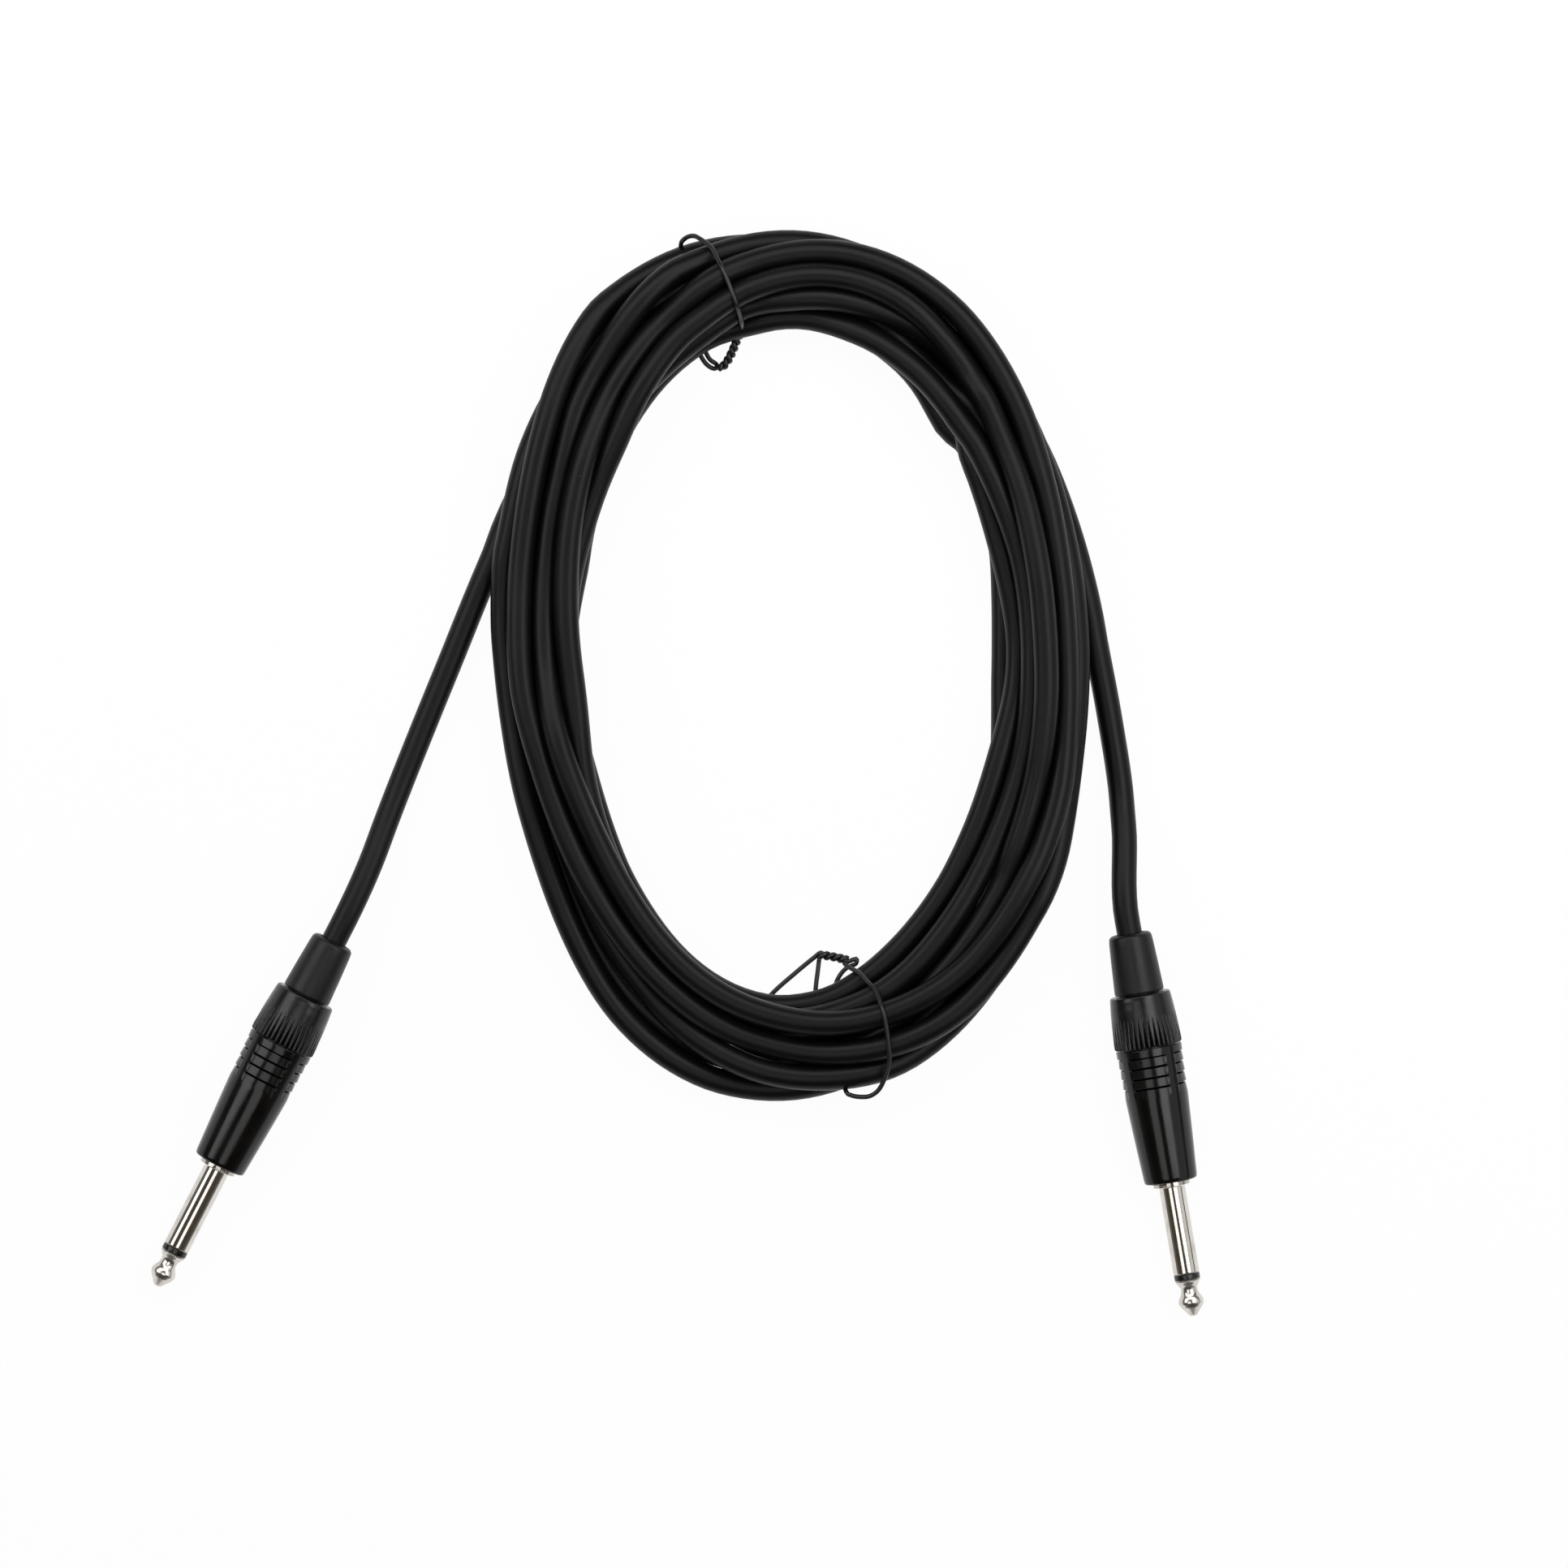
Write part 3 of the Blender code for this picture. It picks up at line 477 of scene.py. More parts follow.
def make_turning_group():
    """Marks of turning and handling on a round piece, from its own place along
    and round the axis: fine rings, longer scratches and stains."""
    group, start, end = new_group(
        "turning_marks",
        (("Place", "NodeSocketVector", None), ("Ring Scale", "NodeSocketFloat", 9.0)),
        (("Rings", "NodeSocketFloat"), ("Scratches", "NodeSocketFloat"),
         ("Stains", "NodeSocketFloat")))
    nodes, links = group.nodes, group.links
    place = start.outputs["Place"]
    for label, stretch, scale, detail, roughness in (
            ("Rings", (0.06, 0.06, 1.0), start.outputs["Ring Scale"], 4.0, 0.6),
            ("Scratches", (4.0, 4.0, 0.25), 1.6, 3.0, 0.7),
            ("Stains", (1.0, 1.0, 1.0), 0.35, 3.0, 0.55)):
        stretched = nodes.new("ShaderNodeVectorMath")
        stretched.operation = "MULTIPLY"
        stretched.inputs[1].default_value = stretch
        links.new(place, stretched.inputs[0])
        links.new(noise(nodes, links, stretched.outputs["Vector"], scale, detail,
                        roughness), end.inputs[label])
    return group


# ---------------------------------------------------------------- materials

def new_material(name, colour, roughness, metallic=0.0):
    material = bpy.data.materials.new(name)
    material.use_nodes = True
    shader = material.node_tree.nodes["Principled BSDF"]
    shader.inputs["Base Color"].default_value = (*colour, 1.0)
    shader.inputs["Roughness"].default_value = roughness
    shader.inputs["Metallic"].default_value = metallic
    return material, material.node_tree.nodes, material.node_tree.links, shader


def add_group(nodes, links, group, vector, **values):
    node = nodes.new("ShaderNodeGroup")
    node.node_tree = group
    links.new(vector, node.inputs[0])
    for label, value in values.items():
        node.inputs[label.replace("_", " ")].default_value = value
    return node


def mix_colour(nodes, links, factor, first, second):
    node = nodes.new("ShaderNodeMix")
    node.data_type = "RGBA"
    links.new(factor, node.inputs["Factor"])
    for label, colour in (("A", first), ("B", second)):
        socket = next(s for s in node.inputs if s.name == label and s.type == "RGBA")
        if isinstance(colour, tuple):
            socket.default_value = (*colour, 1.0)
        else:
            links.new(colour, socket)
    return next(s for s in node.outputs if s.type == "RGBA")


def add_bump(nodes, links, shader, height, distance, strength=1.0):
    bump = nodes.new("ShaderNodeBump")
    bump.inputs["Distance"].default_value = distance
    bump.inputs["Strength"].default_value = strength
    links.new(height, bump.inputs["Height"])
    links.new(bump.outputs["Normal"], shader.inputs["Normal"])


DUST_COLOUR = (0.22, 0.21, 0.2)
DUST_ROUGHNESS = 0.8


def black_moulding(name, colour, dull, roughness, grain, patch, bump, dust=0.0,
                   gloss=0.5):
    """A black moulded surface: grain, uneven gloss and a few specks of dust."""
    material, nodes, links, shader = new_material(name, colour, roughness[0])
    shader.inputs["Specular IOR Level"].default_value = gloss
    place = nodes.new("ShaderNodeTexCoord").outputs["Object"]
    texture = add_group(nodes, links, groups["grain"], place,
                        Grain_Scale=grain, Patch_Scale=patch)
    patches = texture.outputs["Patches"]
    rough = between(nodes, links, patches, 0.3, 0.7, *roughness)
    uneven = between(nodes, links, patches, 0.35, 0.75)
    tone = mix_colour(nodes, links, uneven, colour, dull)
    if dust:
        specks = add_group(nodes, links, groups["dust"], place, Share=dust)
        mask = specks.outputs["Mask"]
        tone = mix_colour(nodes, links, mask, tone, DUST_COLOUR)
        rough = math_node(nodes, links, "MAXIMUM", rough, math_node(
            nodes, links, "MULTIPLY", mask, DUST_ROUGHNESS))
    links.new(tone, shader.inputs["Base Color"])
    links.new(rough, shader.inputs["Roughness"])
    add_bump(nodes, links, shader, texture.outputs["Height"], bump)
    return material


def nickel_plate(name, wear=0.0):
    """Bright nickel, warm grey, with turning rings and handling marks. Wear adds
    to its roughness."""
    light, dark = (0.70, 0.675, 0.625), (0.56, 0.53, 0.48)
    material, nodes, links, shader = new_material(name, light, 0.14, 1.0)
    place = nodes.new("ShaderNodeAttribute")
    place.attribute_name = "place"
    marks = add_group(nodes, links, groups["turning"], place.outputs["Vector"])
    stains = between(nodes, links, marks.outputs["Stains"], 0.4, 0.75)
    links.new(mix_colour(nodes, links, stains, light, dark), shader.inputs["Base Color"])
    worn = between(nodes, links, marks.outputs["Scratches"], 0.45, 0.8, 0.0, 0.07)
    rings = between(nodes, links, marks.outputs["Rings"], 0.3, 0.8,
                    0.04 + wear, 0.1 + wear)
    links.new(math_node(nodes, links, "ADD", worn, rings), shader.inputs["Roughness"])
    add_bump(nodes, links, shader, marks.outputs["Rings"], 0.000004, 0.6)
    return material


def plain_finish(name, colour, roughness, metallic=0.0, variation=0.15, scale=400.0):
    """A finish for the small pieces inside the plugs, with some unevenness."""
    material, nodes, links, shader = new_material(name, colour, roughness, metallic)
    place = nodes.new("ShaderNodeTexCoord").outputs["Object"]
    patches = noise(nodes, links, place, scale, 4.0)
    darker = tuple(value * (1 - 2 * variation) for value in colour)
    uneven = between(nodes, links, patches, 0.35, 0.65)
    tone = mix_colour(nodes, links, uneven, colour, darker)
    links.new(tone, shader.inputs["Base Color"])
    links.new(between(nodes, links, patches, 0.3, 0.7, roughness * 0.8, roughness * 1.2),
              shader.inputs["Roughness"])
    add_bump(nodes, links, shader, patches, 0.00001)
    return material


groups = {"grain": make_grain_group(), "dust": make_dust_group(),
          "turning": make_turning_group()}
finishes = {
    "cord": black_moulding(
        "cord_jacket", (0.002, 0.002, 0.002), (0.004, 0.004, 0.004),
        (0.36, 0.44), 2600.0, 60.0, 0.00002, dust=0.014, gloss=0.2),
    "tie": black_moulding(
        "tie_coating", (0.004, 0.004, 0.0042), (0.007, 0.007, 0.007),
        (0.32, 0.42), 3000.0, 200.0, 0.00001),
    "barrel": black_moulding(
        "barrel_coating", (0.0014, 0.0014, 0.0014), (0.0026, 0.0025, 0.0024),
        (0.14, 0.2), 2200.0, 140.0, 0.000012, dust=0.006, gloss=0.36),
    "nut": black_moulding(
        "nut_moulding", (0.0014, 0.0014, 0.0014), (0.0028, 0.0028, 0.0028),
        (0.22, 0.3), 2800.0, 260.0, 0.00002, dust=0.01, gloss=0.42),
    "boot": black_moulding(
        "boot_rubber", (0.0015, 0.0015, 0.0015), (0.0026, 0.0026, 0.0026),
        (0.36, 0.44), 3200.0, 180.0, 0.00003, dust=0.02, gloss=0.34),
    "ring": black_moulding(
        "insulator_ring", (0.004, 0.004, 0.004), (0.006, 0.006, 0.006),
        (0.2, 0.28), 3000.0, 300.0, 0.000008),
    "nickel": nickel_plate("nickel_plate"),
    "tip": nickel_plate("worn_nickel", 0.13),
    "film": plain_finish("insulating_film", (0.72, 0.69, 0.58), 0.3),
    "white": plain_finish("white_moulding", (0.74, 0.73, 0.69), 0.4),
    "tinned": plain_finish("tinned_metal", (0.62, 0.57, 0.48), 0.35, 1.0),
    "solder": plain_finish("solder", (0.55, 0.55, 0.57), 0.3, 1.0, 0.1, 900.0),
}

# ---------------------------------------------------------------- pieces

def link(name, data, finish):
    item = bpy.data.objects.new(name, data)
    bpy.context.scene.collection.objects.link(item)
    item.data.materials.append(finishes[finish])
    return item


def settle_piece(item, body, slot, *nodes):
    """Says what the piece moves with and the nodes it replaces. Its finish's slot is not
    used.
    """
    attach(item, body)
    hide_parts(*nodes)


def tube(name, points, radius, resolution, finish):
    """A round tube along the points, as a curve of one open spline."""
    curve = bpy.data.curves.new(name, "CURVE")
    curve.dimensions = "3D"
    curve.twist_mode = "MINIMUM"
    curve.bevel_depth = radius * MM
    curve.bevel_resolution = resolution
    curve.use_fill_caps = True
    spline = curve.splines.new("POLY")
    spline.points.add(len(points) - 1)
    for knot, point in zip(spline.points, points):
        knot.co = (*point, 1.0)
    spline.use_smooth = True
    return link(name, curve, finish)


def softened(profile, closed):
    """The profile with each corner (radius, along, rounding) eased by a curve. A
    row without a rounding stays sharp."""
    corners = [Vector(point[:2]) for point in profile]
    count = len(corners)
    points = []
    for index, point in enumerate(profile):
        rounding = point[2] if len(point) > 2 else 0.0
        corner = corners[index]
        at_end = not closed and index in (0, count - 1)
        if rounding == 0.0 or at_end:
            points.append(corner)
            continue
        before = corners[index - 1] - corner
        after = corners[(index + 1) % count] - corner
        reach = min(rounding, before.length * CORNER_SHARE, after.length * CORNER_SHARE)
        first = corner + before.normalized() * reach
        last = corner + after.normalized() * reach
        for step in range(CORNER_STEPS + 1):
            f = step / CORNER_STEPS
            points.append(first * (1 - f) ** 2 + corner * 2 * f * (1 - f) + last * f ** 2)
    return points


def turned_object(name, profile, steps):
    """Screws a profile (radius, along, rounding) round the plug's axis. It runs
    down the outer side, from the boot end to the tip end, and up the bore."""
    closed = profile[0][0] > 0
    points = softened(profile, closed)
    count = len(points)
    edges = [(i, i + 1) for i in range(count - 1)]
    if closed:
        edges.append((count - 1, 0))
    mesh = bpy.data.meshes.new(name)
    mesh.from_pydata([(r * MM, 0.0, s * MM) for r, s in points], edges, [])
    item = bpy.data.objects.new(name, mesh)
    bpy.context.scene.collection.objects.link(item)
    screw = item.modifiers.new("Screw", "SCREW")
    screw.steps = steps
    screw.render_steps = steps
    screw.use_merge_vertices = True
    screw.merge_threshold = MERGE_DISTANCE * MM
    screw.use_smooth_shade = True
    return item


def make_plain(item, side, finish, sharp_angle=SHARP_ANGLE):
    """Bakes the modifiers, keeps each point's place on the plug in millimetres,
    and lays the piece where its plug is."""
    graph = bpy.context.evaluated_depsgraph_get()
    mesh = bpy.data.meshes.new_from_object(item.evaluated_get(graph))
    item.modifiers.clear()
    item.data = mesh
    places = np.empty(len(mesh.vertices) * 3, np.float32)
    mesh.vertices.foreach_get("co", places)
    attribute = mesh.attributes.new("place", "FLOAT_VECTOR", "POINT")
    attribute.data.foreach_set("vector", places / MM)
    move = plug_matrix(side)
    move.translation = (move.translation - Vector((*BOX_CENTRE, 0.0))) * MM
    mesh.transform(move)
    mesh.materials.clear()
    mesh.materials.append(finishes[finish])
    mesh.shade_smooth()
    mesh.set_sharp_from_angle(angle=math.radians(sharp_angle))


def turned(name, profile, side, finish, body, slot, *nodes):
    """A piece that is turned and has no relief."""
    item = turned_object(name, profile, TURNED_STEPS)
    make_plain(item, side, finish)
    settle_piece(item, body, slot, *nodes)


# ---------------------------------------------------------------- relief on turned pieces

def new_relief(name, *inputs):
    """A geometry node tree that moves the points of a turned piece toward its axis,
    with an input for each named size."""
    tree = bpy.data.node_groups.new(name, "GeometryNodeTree")
    for in_out in ("INPUT", "OUTPUT"):
        tree.interface.new_socket("Geometry", in_out=in_out,
                                  socket_type="NodeSocketGeometry")
    for label in inputs:
        tree.interface.new_socket(label, in_out="INPUT", socket_type="NodeSocketFloat")
    start = tree.nodes.new("NodeGroupInput")
    end = tree.nodes.new("NodeGroupOutput")
    position = tree.nodes.new("GeometryNodeInputPosition")
    split = tree.nodes.new("ShaderNodeSeparateXYZ")
    tree.links.new(position.outputs["Position"], split.inputs["Vector"])
    return tree, start, end, split


def radius_and_turn(nodes, links, split):
    """The point's distance from the axis and its part of a turn round it, 0 to 1."""
    x, y = split.outputs["X"], split.outputs["Y"]
    square = math_node(nodes, links, "ADD", math_node(nodes, links, "MULTIPLY", x, x),
                       math_node(nodes, links, "MULTIPLY", y, y))
    radius = math_node(nodes, links, "SQRT", square)
    angle = math_node(nodes, links, "ARCTAN2", y, x)
    turn = math_node(nodes, links, "MULTIPLY_ADD", angle, 1 / (2 * math.pi))
    turn.node.inputs[2].default_value = 0.5
    return radius, turn


def folded_round(nodes, links, turn, count):
    """A zigzag between 1 and 0 that repeats so many times in a turn."""
    return folded(nodes, links, math_node(
        nodes, links, "FRACT", math_node(nodes, links, "MULTIPLY", turn, count)))


def finish_relief(tree, start, end, split, radius, new_radius, material):
    """Moves each point to its new radius, and gives the piece its finish."""
    nodes, links = tree.nodes, tree.links
    scale = math_node(nodes, links, "DIVIDE", new_radius, radius)
    combine = nodes.new("ShaderNodeCombineXYZ")
    for axis in "XY":
        links.new(math_node(nodes, links, "MULTIPLY", split.outputs[axis], scale),
                  combine.inputs[axis])
    links.new(split.outputs["Z"], combine.inputs["Z"])
    move = nodes.new("GeometryNodeSetPosition")
    links.new(start.outputs["Geometry"], move.inputs["Geometry"])
    links.new(combine.outputs["Vector"], move.inputs["Position"])
    real = nodes.new("GeometryNodeRealizeInstances")
    links.new(move.outputs["Geometry"], real.inputs["Geometry"])
    paint = nodes.new("GeometryNodeSetMaterial")
    paint.inputs["Material"].default_value = material
    links.new(real.outputs["Geometry"], paint.inputs["Geometry"])
    links.new(paint.outputs["Geometry"], end.inputs["Geometry"])


def make_flute_tree():
    """Flutes: the outer wall is held inside a star that has one point a flute."""
    tree, start, end, split = new_relief(
        "flutes", "Flutes", "Valley Radius", "Crest Radius", "Slope", "Rim", "Rounding",
        "Inner Radius")
    nodes, links = tree.nodes, tree.links
    radius, turn = radius_and_turn(nodes, links, split)
    value = start.outputs
    rise = math_node(nodes, links, "MULTIPLY", value["Slope"], math_node(
        nodes, links, "SUBTRACT", split.outputs["Z"], value["Rim"]))
    wave = folded_round(nodes, links, turn, value["Flutes"])
    star = between(nodes, links, wave, 0.0, 1.0, value["Valley Radius"],
                   value["Crest Radius"])
    star = math_node(nodes, links, "ADD", star, rise)
    held = math_node(nodes, links, "SMOOTH_MIN", radius, star)
    links.new(value["Rounding"], held.node.inputs[2])
    outer = math_node(nodes, links, "GREATER_THAN", radius, value["Inner Radius"])
    change = math_node(nodes, links, "MULTIPLY", outer, math_node(
        nodes, links, "SUBTRACT", held, radius))
    new_radius = math_node(nodes, links, "ADD", radius, change)
    finish_relief(tree, start, end, split, radius, new_radius, finishes["nut"])
    return tree


def make_groove_tree():
    """Grip grooves in patches: each has a narrow slot toward the nut, and a slope
    that runs out toward the mouth."""
    tree, start, end, split = new_relief(
        "grip_grooves", "First Groove", "Pitch", "Grooves", "Depth", "Slot Depth",
        "Slot Width", "Patches", "Bridge", "Bridge Turn", "Patch Edge", "Inner Radius")
    nodes, links = tree.nodes, tree.links
    radius, turn = radius_and_turn(nodes, links, split)
    value = start.outputs
    along = math_node(nodes, links, "SUBTRACT", value["First Groove"], split.outputs["Z"])
    inside = math_node(nodes, links, "MULTIPLY",
                       math_node(nodes, links, "GREATER_THAN", along, 0.0),
                       math_node(nodes, links, "LESS_THAN", along, math_node(
                           nodes, links, "MULTIPLY", value["Pitch"], value["Grooves"])))
    step = math_node(nodes, links, "FLOORED_MODULO", along, value["Pitch"])
    slope = between(nodes, links, step, value["Slot Width"], value["Pitch"],
                    value["Depth"], 0.0)
    across = folded(nodes, links, math_node(
        nodes, links, "DIVIDE", step, value["Slot Width"]))
    slot = between(nodes, links, across, 0.0, 1.0, value["Slot Depth"], 0.0)
    depth = math_node(nodes, links, "MAXIMUM", slope, slot)
    turn = math_node(nodes, links, "SUBTRACT", turn, value["Bridge Turn"])
    wave = folded_round(nodes, links, turn, value["Patches"])
    edge = math_node(nodes, links, "SUBTRACT", 1.0, math_node(
        nodes, links, "MULTIPLY", value["Bridge"], value["Patches"]))
    edge_end = math_node(nodes, links, "ADD", edge, value["Patch Edge"])
    patch = between(nodes, links, wave, edge, edge_end, 1.0, 0.0)
    outer = math_node(nodes, links, "GREATER_THAN", radius, value["Inner Radius"])
    for factor in (inside, patch, outer):
        depth = math_node(nodes, links, "MULTIPLY", depth, factor)
    new_radius = math_node(nodes, links, "SUBTRACT", radius, depth)
    finish_relief(tree, start, end, split, radius, new_radius, finishes["barrel"])
    return tree


def add_relief(item, tree, **values):
    """Gives the piece the relief, its inputs set by their sockets' identifiers."""
    modifier = item.modifiers.new(tree.name, "NODES")
    modifier.node_group = tree
    for socket in tree.interface.items_tree:
        label = socket.name.replace(" ", "_")
        if socket.in_out == "INPUT" and label in values:
            modifier[socket.identifier] = float(values[label])


flute_tree = make_flute_tree()
groove_tree = make_groove_tree()

# ---------------------------------------------------------------- plug
# A profile's rows are (radius, place along the axis, rounding of the corner)

def make_tip(side):
    """The tip with its centre rod and riveted head, and the black ring behind it."""
    front, back = TIP_JOINT - JOINT_GAP, SHANK_JOINT - JOINT_GAP
    profile = [
        (0, 44.3), (1.3, 44.3, 0.3), (1.5, 43.9, 0.2), (1.5, 43.5, 0.1), (0.9, 43.5),
        (0.9, front), (3.1, front, 0.12), (3.1, 8.6, 0.1),
        (2.86, 8.3, 0.2), (2.55, 7.8, 0.3), (2.14, 7.25, 0.3), (2.0, 6.6, 0.5),
        (2.12, 5.64, 0.4), (2.42, 5.09, 0.3), (2.79, 4.54, 0.4), (3.07, 3.7, 0.4),
        (3.07, 3.2, 0.25), (2.63, 2.3, 0.2), (1.0, 0.25, 0.3), (0.6, 0.0, 0.2), (0, 0)]
    turned(f"tip_{side}", profile, side, "tip", "cable", "nickel", f"tip_contact_{side}")
    ring = [(3.13, back, 0.06), (3.13, TIP_JOINT + JOINT_GAP, 0.06),
            (1.2, TIP_JOINT + JOINT_GAP), (1.2, back)]
    turned(f"insulator_{side}", ring, side, "ring", "cable", "black_plastic",
           f"tip_insulator_{side}")


def make_shank(side):
    """The shank and its stepped flange, and the neck inside the barrel."""
    front = SHANK_JOINT + JOINT_GAP
    profile = [
        (2.4, 41.2), (2.4, 39.5), (4.2, 39.5), (4.2, 32.95), (FLANGE_R, 32.95, 0.1),
        (FLANGE_R, 32.62, 0.06), (4.35, 32.56, 0.03), (4.35, 32.46, 0.03),
        (FLANGE_R, 32.4, 0.06), (FLANGE_R, 32.1, 0.15), (3.5, 32.1, 0.05),
        (SHANK_R, 31.95, 0.15), (SHANK_R, SHANK_JOINT + 0.25, 0.1),
        (SHANK_R - 0.13, front, 0.05), (1.95, front), (1.95, 41.2)]
    turned(f"shank_{side}", profile, side, "nickel", "cable", "nickel", f"sleeve_{side}")


def make_barrel(side):
    """The tapered shell, cut with grip grooves, and its spigot for the nut."""
    taper = ((34.2, 38.3, 42.3, 48.5, 53.3, 65.2), (6.5, 6.75, 7.0, 7.35, 7.6, 8.0))

    def outside(s):
        return float(np.interp(s, *taper)), float(s)

    pitch = GROOVES[1] - GROOVES[0]
    profile = [(6.3, 72.0, 0.2), (6.3, BARREL_END), (7.94, BARREL_END, 0.05),
               (8.0, BARREL_END - 0.1, 0.04), outside(65.2)]
    for groove in reversed(GROOVES):
        slot = [groove - part * SLOT_WIDTH for part in (0, 0.25, 0.5, 0.75, 1)]
        slope = np.linspace(groove - SLOT_WIDTH - 0.3, groove - pitch + 0.2, 7)
        profile += [outside(s) for s in (*slot, *slope)]
    profile += [outside(s) for s in (GROOVES[0] - pitch - 0.05, 53.0, 48.5, 42.3, 38.3)]
    profile += [(6.5, 34.2, 0.2), (6.38, MOUTH + 0.25, 0.3), (6.05, MOUTH, 0.2),
                (4.5, MOUTH, 0.15), (4.5, 35.2), (5.9, 35.2), (5.9, BORE_STEP),
                (5.6, BORE_STEP), (5.6, 72.0, 0.2)]
    item = turned_object(f"shell_{side}", profile, BARREL_STEPS)
    add_relief(item, groove_tree, First_Groove=GROOVES[-1] * MM, Pitch=pitch * MM,
               Grooves=len(GROOVES), Depth=GROOVE_DEPTH * MM, Slot_Depth=SLOT_DEPTH * MM,
               Slot_Width=SLOT_WIDTH * MM, Patches=GROOVE_PATCHES, Bridge=GROOVE_BRIDGE,
               Bridge_Turn=BRIDGE_ANGLES[side] / 360 + TOP_TURN, Patch_Edge=PATCH_EDGE,
               Inner_Radius=BARREL_WALL_R * MM)
    make_plain(item, side, "barrel")
    settle_piece(item, "cable", "barrel_black", f"barrel_{side}")


def make_nut(side):
    """The fluted nut, smooth and rounded at its rear end."""
    outer = [(6.9, NUT_END, 0.3), (7.3, 79.0, 0.4), (7.47, 78.0, 0.4)]
    along = np.arange(77.6, 68.1, -0.3)
    taper = ((68.0, 70.0, 73.0, 76.0, 78.0), (8.2, 8.08, 7.92, 7.68, 7.45))
    outer += [(float(np.interp(s, *taper)), float(s)) for s in along]
    inner = BARREL_END + 0.3
    profile = outer + [
        (RIM_R, 67.6), (RIM_R, 67.2), (RIM_R, RIM, 0.1),
        (RIM_R - 0.08, inner + 0.15, 0.1), (7.95, inner, 0.08), (6.6, inner),
        (6.6, 72.6), (5.7, 72.6), (5.7, 78.0), (4.9, 78.0), (4.9, NUT_END, 0.1)]
    item = turned_object(f"nut_{side}", profile, FLUTES * FLUTE_STEPS)
    add_relief(item, flute_tree, Flutes=FLUTES, Valley_Radius=FLUTE_VALLEY_R * MM,
               Crest_Radius=FLUTE_CREST_R * MM, Slope=FLUTE_SLOPE, Rim=RIM * MM,
               Rounding=FLUTE_ROUNDING * MM, Inner_Radius=NUT_WALL_R * MM)
    make_plain(item, side, "nut", NUT_SHARP_ANGLE)
    settle_piece(item, f"nut_{side}", "nut_black", f"back_nut_{side}")


def make_boot(side):
    """The rubber strain relief, its lip held inside the nut."""
    bore = CORD_R + 0.08
    profile = [
        (bore + 0.04, BOOT_END - 6), (bore + 0.35, BOOT_END - 0.5, 0.2),
        (bore + 0.55, BOOT_END - 0.05, 0.2),
        (4.4, BOOT_END, 0.8), (5.15, BOOT_END - 0.6, 0.9), (5.35, 91.8, 0.6),
        (5.7, 86.0, 1.0), (6.0, BOOT_START + 0.5, 0.3), (5.88, BOOT_START, 0.2),
        (4.6, BOOT_START), (4.6, 77.7), (5.4, 77.7), (5.4, 76.6), (bore, 76.6)]
    turned(f"relief_{side}", profile, side, "boot", f"boot_{side}", "boot_rubber",
           f"boot_{side}")


def finish_inner_pieces(side):
    """The pieces inside the plug stay as they are, with their own finishes."""
    for node, finish in (
            ("rod_insulator", "film"), ("liner", "film"), ("ground_lug", "tinned"),
            ("tip_lug", "tinned"), ("lug_insulator", "white"), ("core_wire", "white"),
            ("shield_pigtail", "tinned"), ("tip_solder", "solder"),
            ("ground_solder", "solder"), ("chuck", "white")):
        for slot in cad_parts[f"{node}_{side}"].material_slots:
            slot.material = finishes[finish]


# ---------------------------------------------------------------- ties

def draped(plan, strands, first, last, side):
    """A taut wire over (1) or under (-1) the strands, along a line seen from above.
    It goes from the height first to the height last, touches the outermost strands
    between them, and runs straight across every hollow."""
    plan = [(*point, 0.0) for point in plan]
    line = even_points(smooth_through([plan[0], *plan, plan[-1]], steps=8), DRAPE_STEP)
    reach = CORD_R + WIRE_R + TIE_CLEARANCE
    corners = [(0.0, side * first)]
    for index, (x, y, _) in enumerate(line[1:-1], 1):
        away = np.hypot(strands[:, 0] - x, strands[:, 1] - y)
        near = away < reach
        if near.any():
            limit = side * strands[near, 2] + np.sqrt(reach ** 2 - away[near] ** 2)
            corners.append((float(index), float(limit.max())))
    corners.append((float(len(line) - 1), side * last))
    taut = []
    for corner in corners:
        while len(taut) > 1 and (
                (taut[-1][1] - taut[-2][1]) * (corner[0] - taut[-2][0])
                <= (corner[1] - taut[-2][1]) * (taut[-1][0] - taut[-2][0])):
            taut.pop()
        taut.append(corner)
    places, heights = zip(*taut)
    line[:, 2] = side * np.interp(np.arange(len(line)), places, heights)
    line[:, 2] = np.maximum(line[:, 2], WIRE_REST_Z)
    return line


def twist_strand(line, phase):
    """One of the two strands wound round the twist's line."""
    centre = even_points(smooth_through([line[0], *line, line[-1]], steps=8), TWIST_STEP)
    along = np.gradient(centre, axis=0)
    strand = []
    for index, (point, direction) in enumerate(zip(centre, along)):
        axis = Vector(direction).normalized()
        across = axis.cross(Vector((0, 0, 1))).normalized()
        turn = phase + 2 * math.pi * index * TWIST_STEP / TWIST_PITCH
        offset = across * math.cos(turn) + across.cross(axis) * math.sin(turn)
        place = Vector(point) + offset * TWIST_RADIUS
        strand.append((place.x, place.y, max(place.z, WIRE_REST_Z)))
    return strand[::TWIST_THINNING]


def tie_points(tie, strands):
    """One wire: a leg, a strand of the twist, the loop, the other strand, a leg."""
    first, second = (twist_strand(tie["twist"], phase) for phase in (0.0, math.pi))
    over = draped(tie["over"], strands, first[0][2] + OVER_RISE, WIRE_REST_Z, 1)
    under = draped(tie["under"], strands, WIRE_REST_Z, second[0][2], -1)
    legs = [[(*point, WIRE_REST_Z) for point in leg] for leg in tie["legs"]]
    points = [*legs[0][::-1], *first[::-1], *map(tuple, over[::2]),
              *map(tuple, under[::2]), *second, *legs[1]]
    line = smooth_through([points[0], *points, points[-1]], steps=3)
    line[:, 2] = np.maximum(line[:, 2], WIRE_REST_Z)
    return line


# ---------------------------------------------------------------- studio

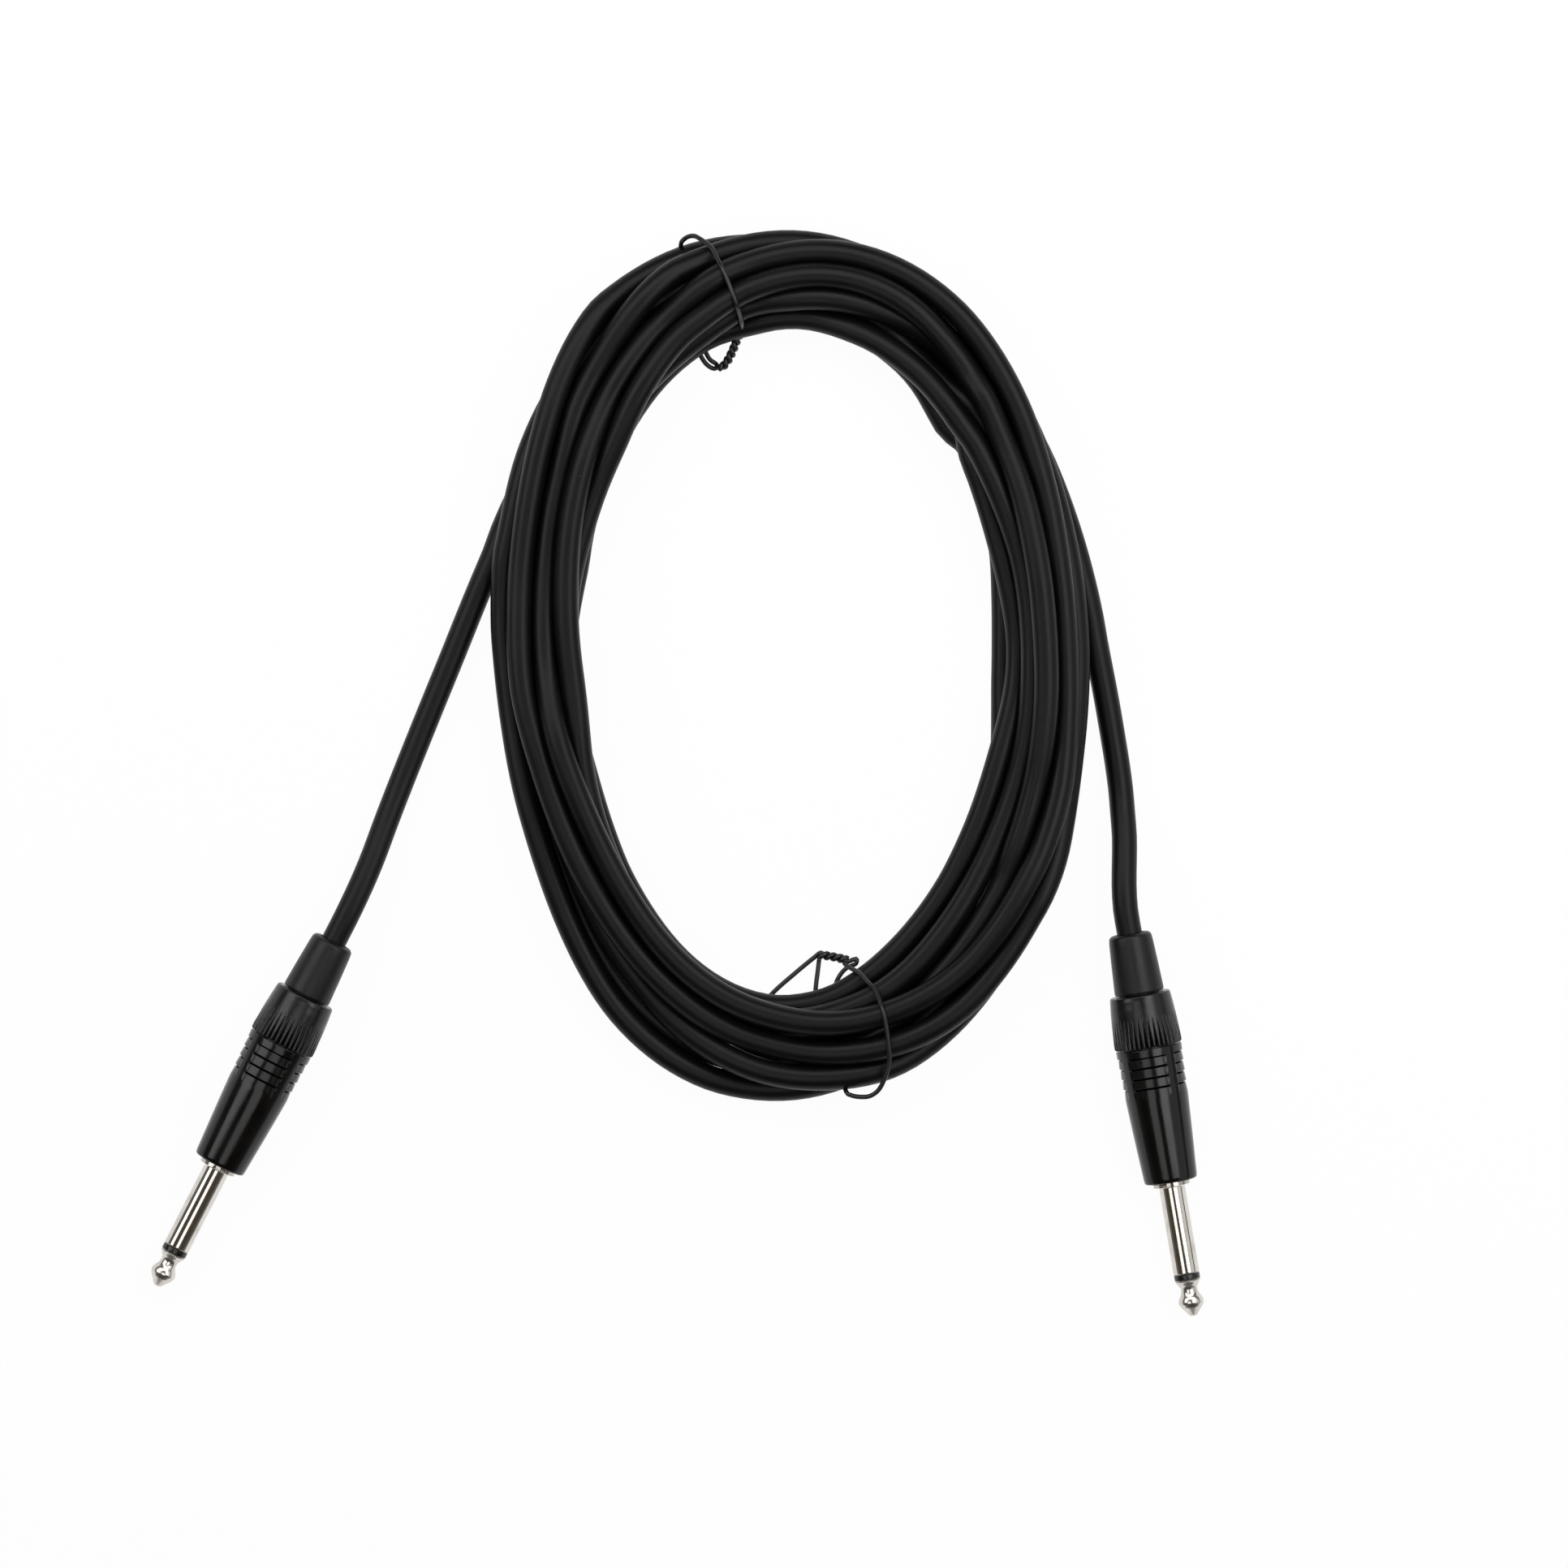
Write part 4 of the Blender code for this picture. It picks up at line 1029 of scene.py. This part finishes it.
# Soft boxes overhead, with a dark gap between them for the camera: each is
# (left, right, near, far) in metres and how bright it is
LAMP_HEIGHT = 0.5
LAMPS = {
    "left": (-0.95, -0.31, -0.08, 0.65, 2.5),
    "right": (0.215, 0.53, -0.22, 0.6, 3.2),
    "side": (0.53, 2.3, -0.6, 0.6, 0.7),
    "far": (-0.31, 0.19, 0.2, 0.65, 2.5),
    "small": (-0.2, 0.06, -0.32, 0.0, 1.6),
}
ROOM_COLOUR = (0.075, 0.063, 0.05)
HORIZON_COLOUR = (0.2, 0.2, 0.2)
HORIZON_END = (0.1, 0.45)    # the rise over which the horizon's colour runs out
FLOOR_SIZE = 12              # metres
FLOOR_COLOUR = (0.88, 0.88, 0.88)
FLOOR_GLOW = 0.96            # part of what is seen of the floor that is plain white


def add_lamps():
    for name, (left, right, near, far, radiance) in LAMPS.items():
        lamp = bpy.data.lights.new(f"softbox_{name}", "AREA")
        lamp.shape = "RECTANGLE"
        lamp.size, lamp.size_y = right - left, far - near
        lamp.energy = radiance * math.pi * lamp.size * lamp.size_y
        item = bpy.data.objects.new(lamp.name, lamp)
        bpy.context.scene.collection.objects.link(item)
        item.location = ((left + right) / 2, (near + far) / 2, LAMP_HEIGHT)
        item.visible_camera = False


def add_world():
    """A dim room, lighter toward the horizon, and white where the camera sees it."""
    world = bpy.data.worlds.new("studio")
    bpy.context.scene.world = world
    world.use_nodes = True
    nodes, links = world.node_tree.nodes, world.node_tree.links
    room = nodes["Background"]
    direction = nodes.new("ShaderNodeSeparateXYZ")
    links.new(nodes.new("ShaderNodeTexCoord").outputs["Generated"],
              direction.inputs["Vector"])
    low = between(nodes, links, direction.outputs["Z"], *HORIZON_END, 1.0, 0.0)
    links.new(mix_colour(nodes, links, low, ROOM_COLOUR, HORIZON_COLOUR),
              room.inputs["Color"])
    white = nodes.new("ShaderNodeBackground")
    white.inputs["Color"].default_value = (1, 1, 1, 1)
    mix = nodes.new("ShaderNodeMixShader")
    links.new(nodes.new("ShaderNodeLightPath").outputs["Is Camera Ray"],
              mix.inputs["Fac"])
    links.new(room.outputs["Background"], mix.inputs[1])
    links.new(white.outputs["Background"], mix.inputs[2])
    links.new(mix.outputs["Shader"], nodes["World Output"].inputs["Surface"])


def add_floor():
    """A white table top: seen as white, and still taking a faint shadow."""
    bpy.ops.mesh.primitive_plane_add(size=FLOOR_SIZE)
    floor = bpy.context.object
    floor.name = "floor"
    material = bpy.data.materials.new("white_table")
    material.use_nodes = True
    nodes, links = material.node_tree.nodes, material.node_tree.links
    shader = nodes["Principled BSDF"]
    shader.inputs["Base Color"].default_value = (*FLOOR_COLOUR, 1)
    shader.inputs["Roughness"].default_value = 0.6
    glow = nodes.new("ShaderNodeEmission")
    glow.inputs["Color"].default_value = (1, 1, 1, 1)
    path = nodes.new("ShaderNodeLightPath")
    seen = math_node(nodes, links, "MAXIMUM", path.outputs["Is Camera Ray"],
                     path.outputs["Is Glossy Ray"])
    share = math_node(nodes, links, "MULTIPLY", seen, FLOOR_GLOW)
    mix = nodes.new("ShaderNodeMixShader")
    links.new(share, mix.inputs["Fac"])
    links.new(shader.outputs["BSDF"], mix.inputs[1])
    links.new(glow.outputs["Emission"], mix.inputs[2])
    links.new(mix.outputs["Shader"], nodes["Material Output"].inputs["Surface"])
    floor.data.materials.append(material)


# ---------------------------------------------------------------- build

bpy.context.scene.view_settings.view_transform = "Standard"
add_camera()
add_lamps()
add_world()
add_floor()

coil, route = cord_points()
strands = even_points(coil, STRAND_STEP)
cord = tube("cord", to_part(route), CORD_R, CORD_BEVEL, "cord")
settle_piece(cord, "cable", "cord_jacket", "cord_tail_b", "cord_coil", "cord_tail_a")
for name, tie in TIES.items():
    line = to_part(tie_points(tie, strands))
    wire = tube(f"wire_{name}", line, WIRE_R, WIRE_BEVEL, "tie")
    settle_piece(wire, "cable", "tie_wire", f"tie_{name}")
for side in PLUGS:
    make_tip(side)
    make_shank(side)
    make_barrel(side)
    make_nut(side)
    make_boot(side)
    finish_inner_pieces(side)
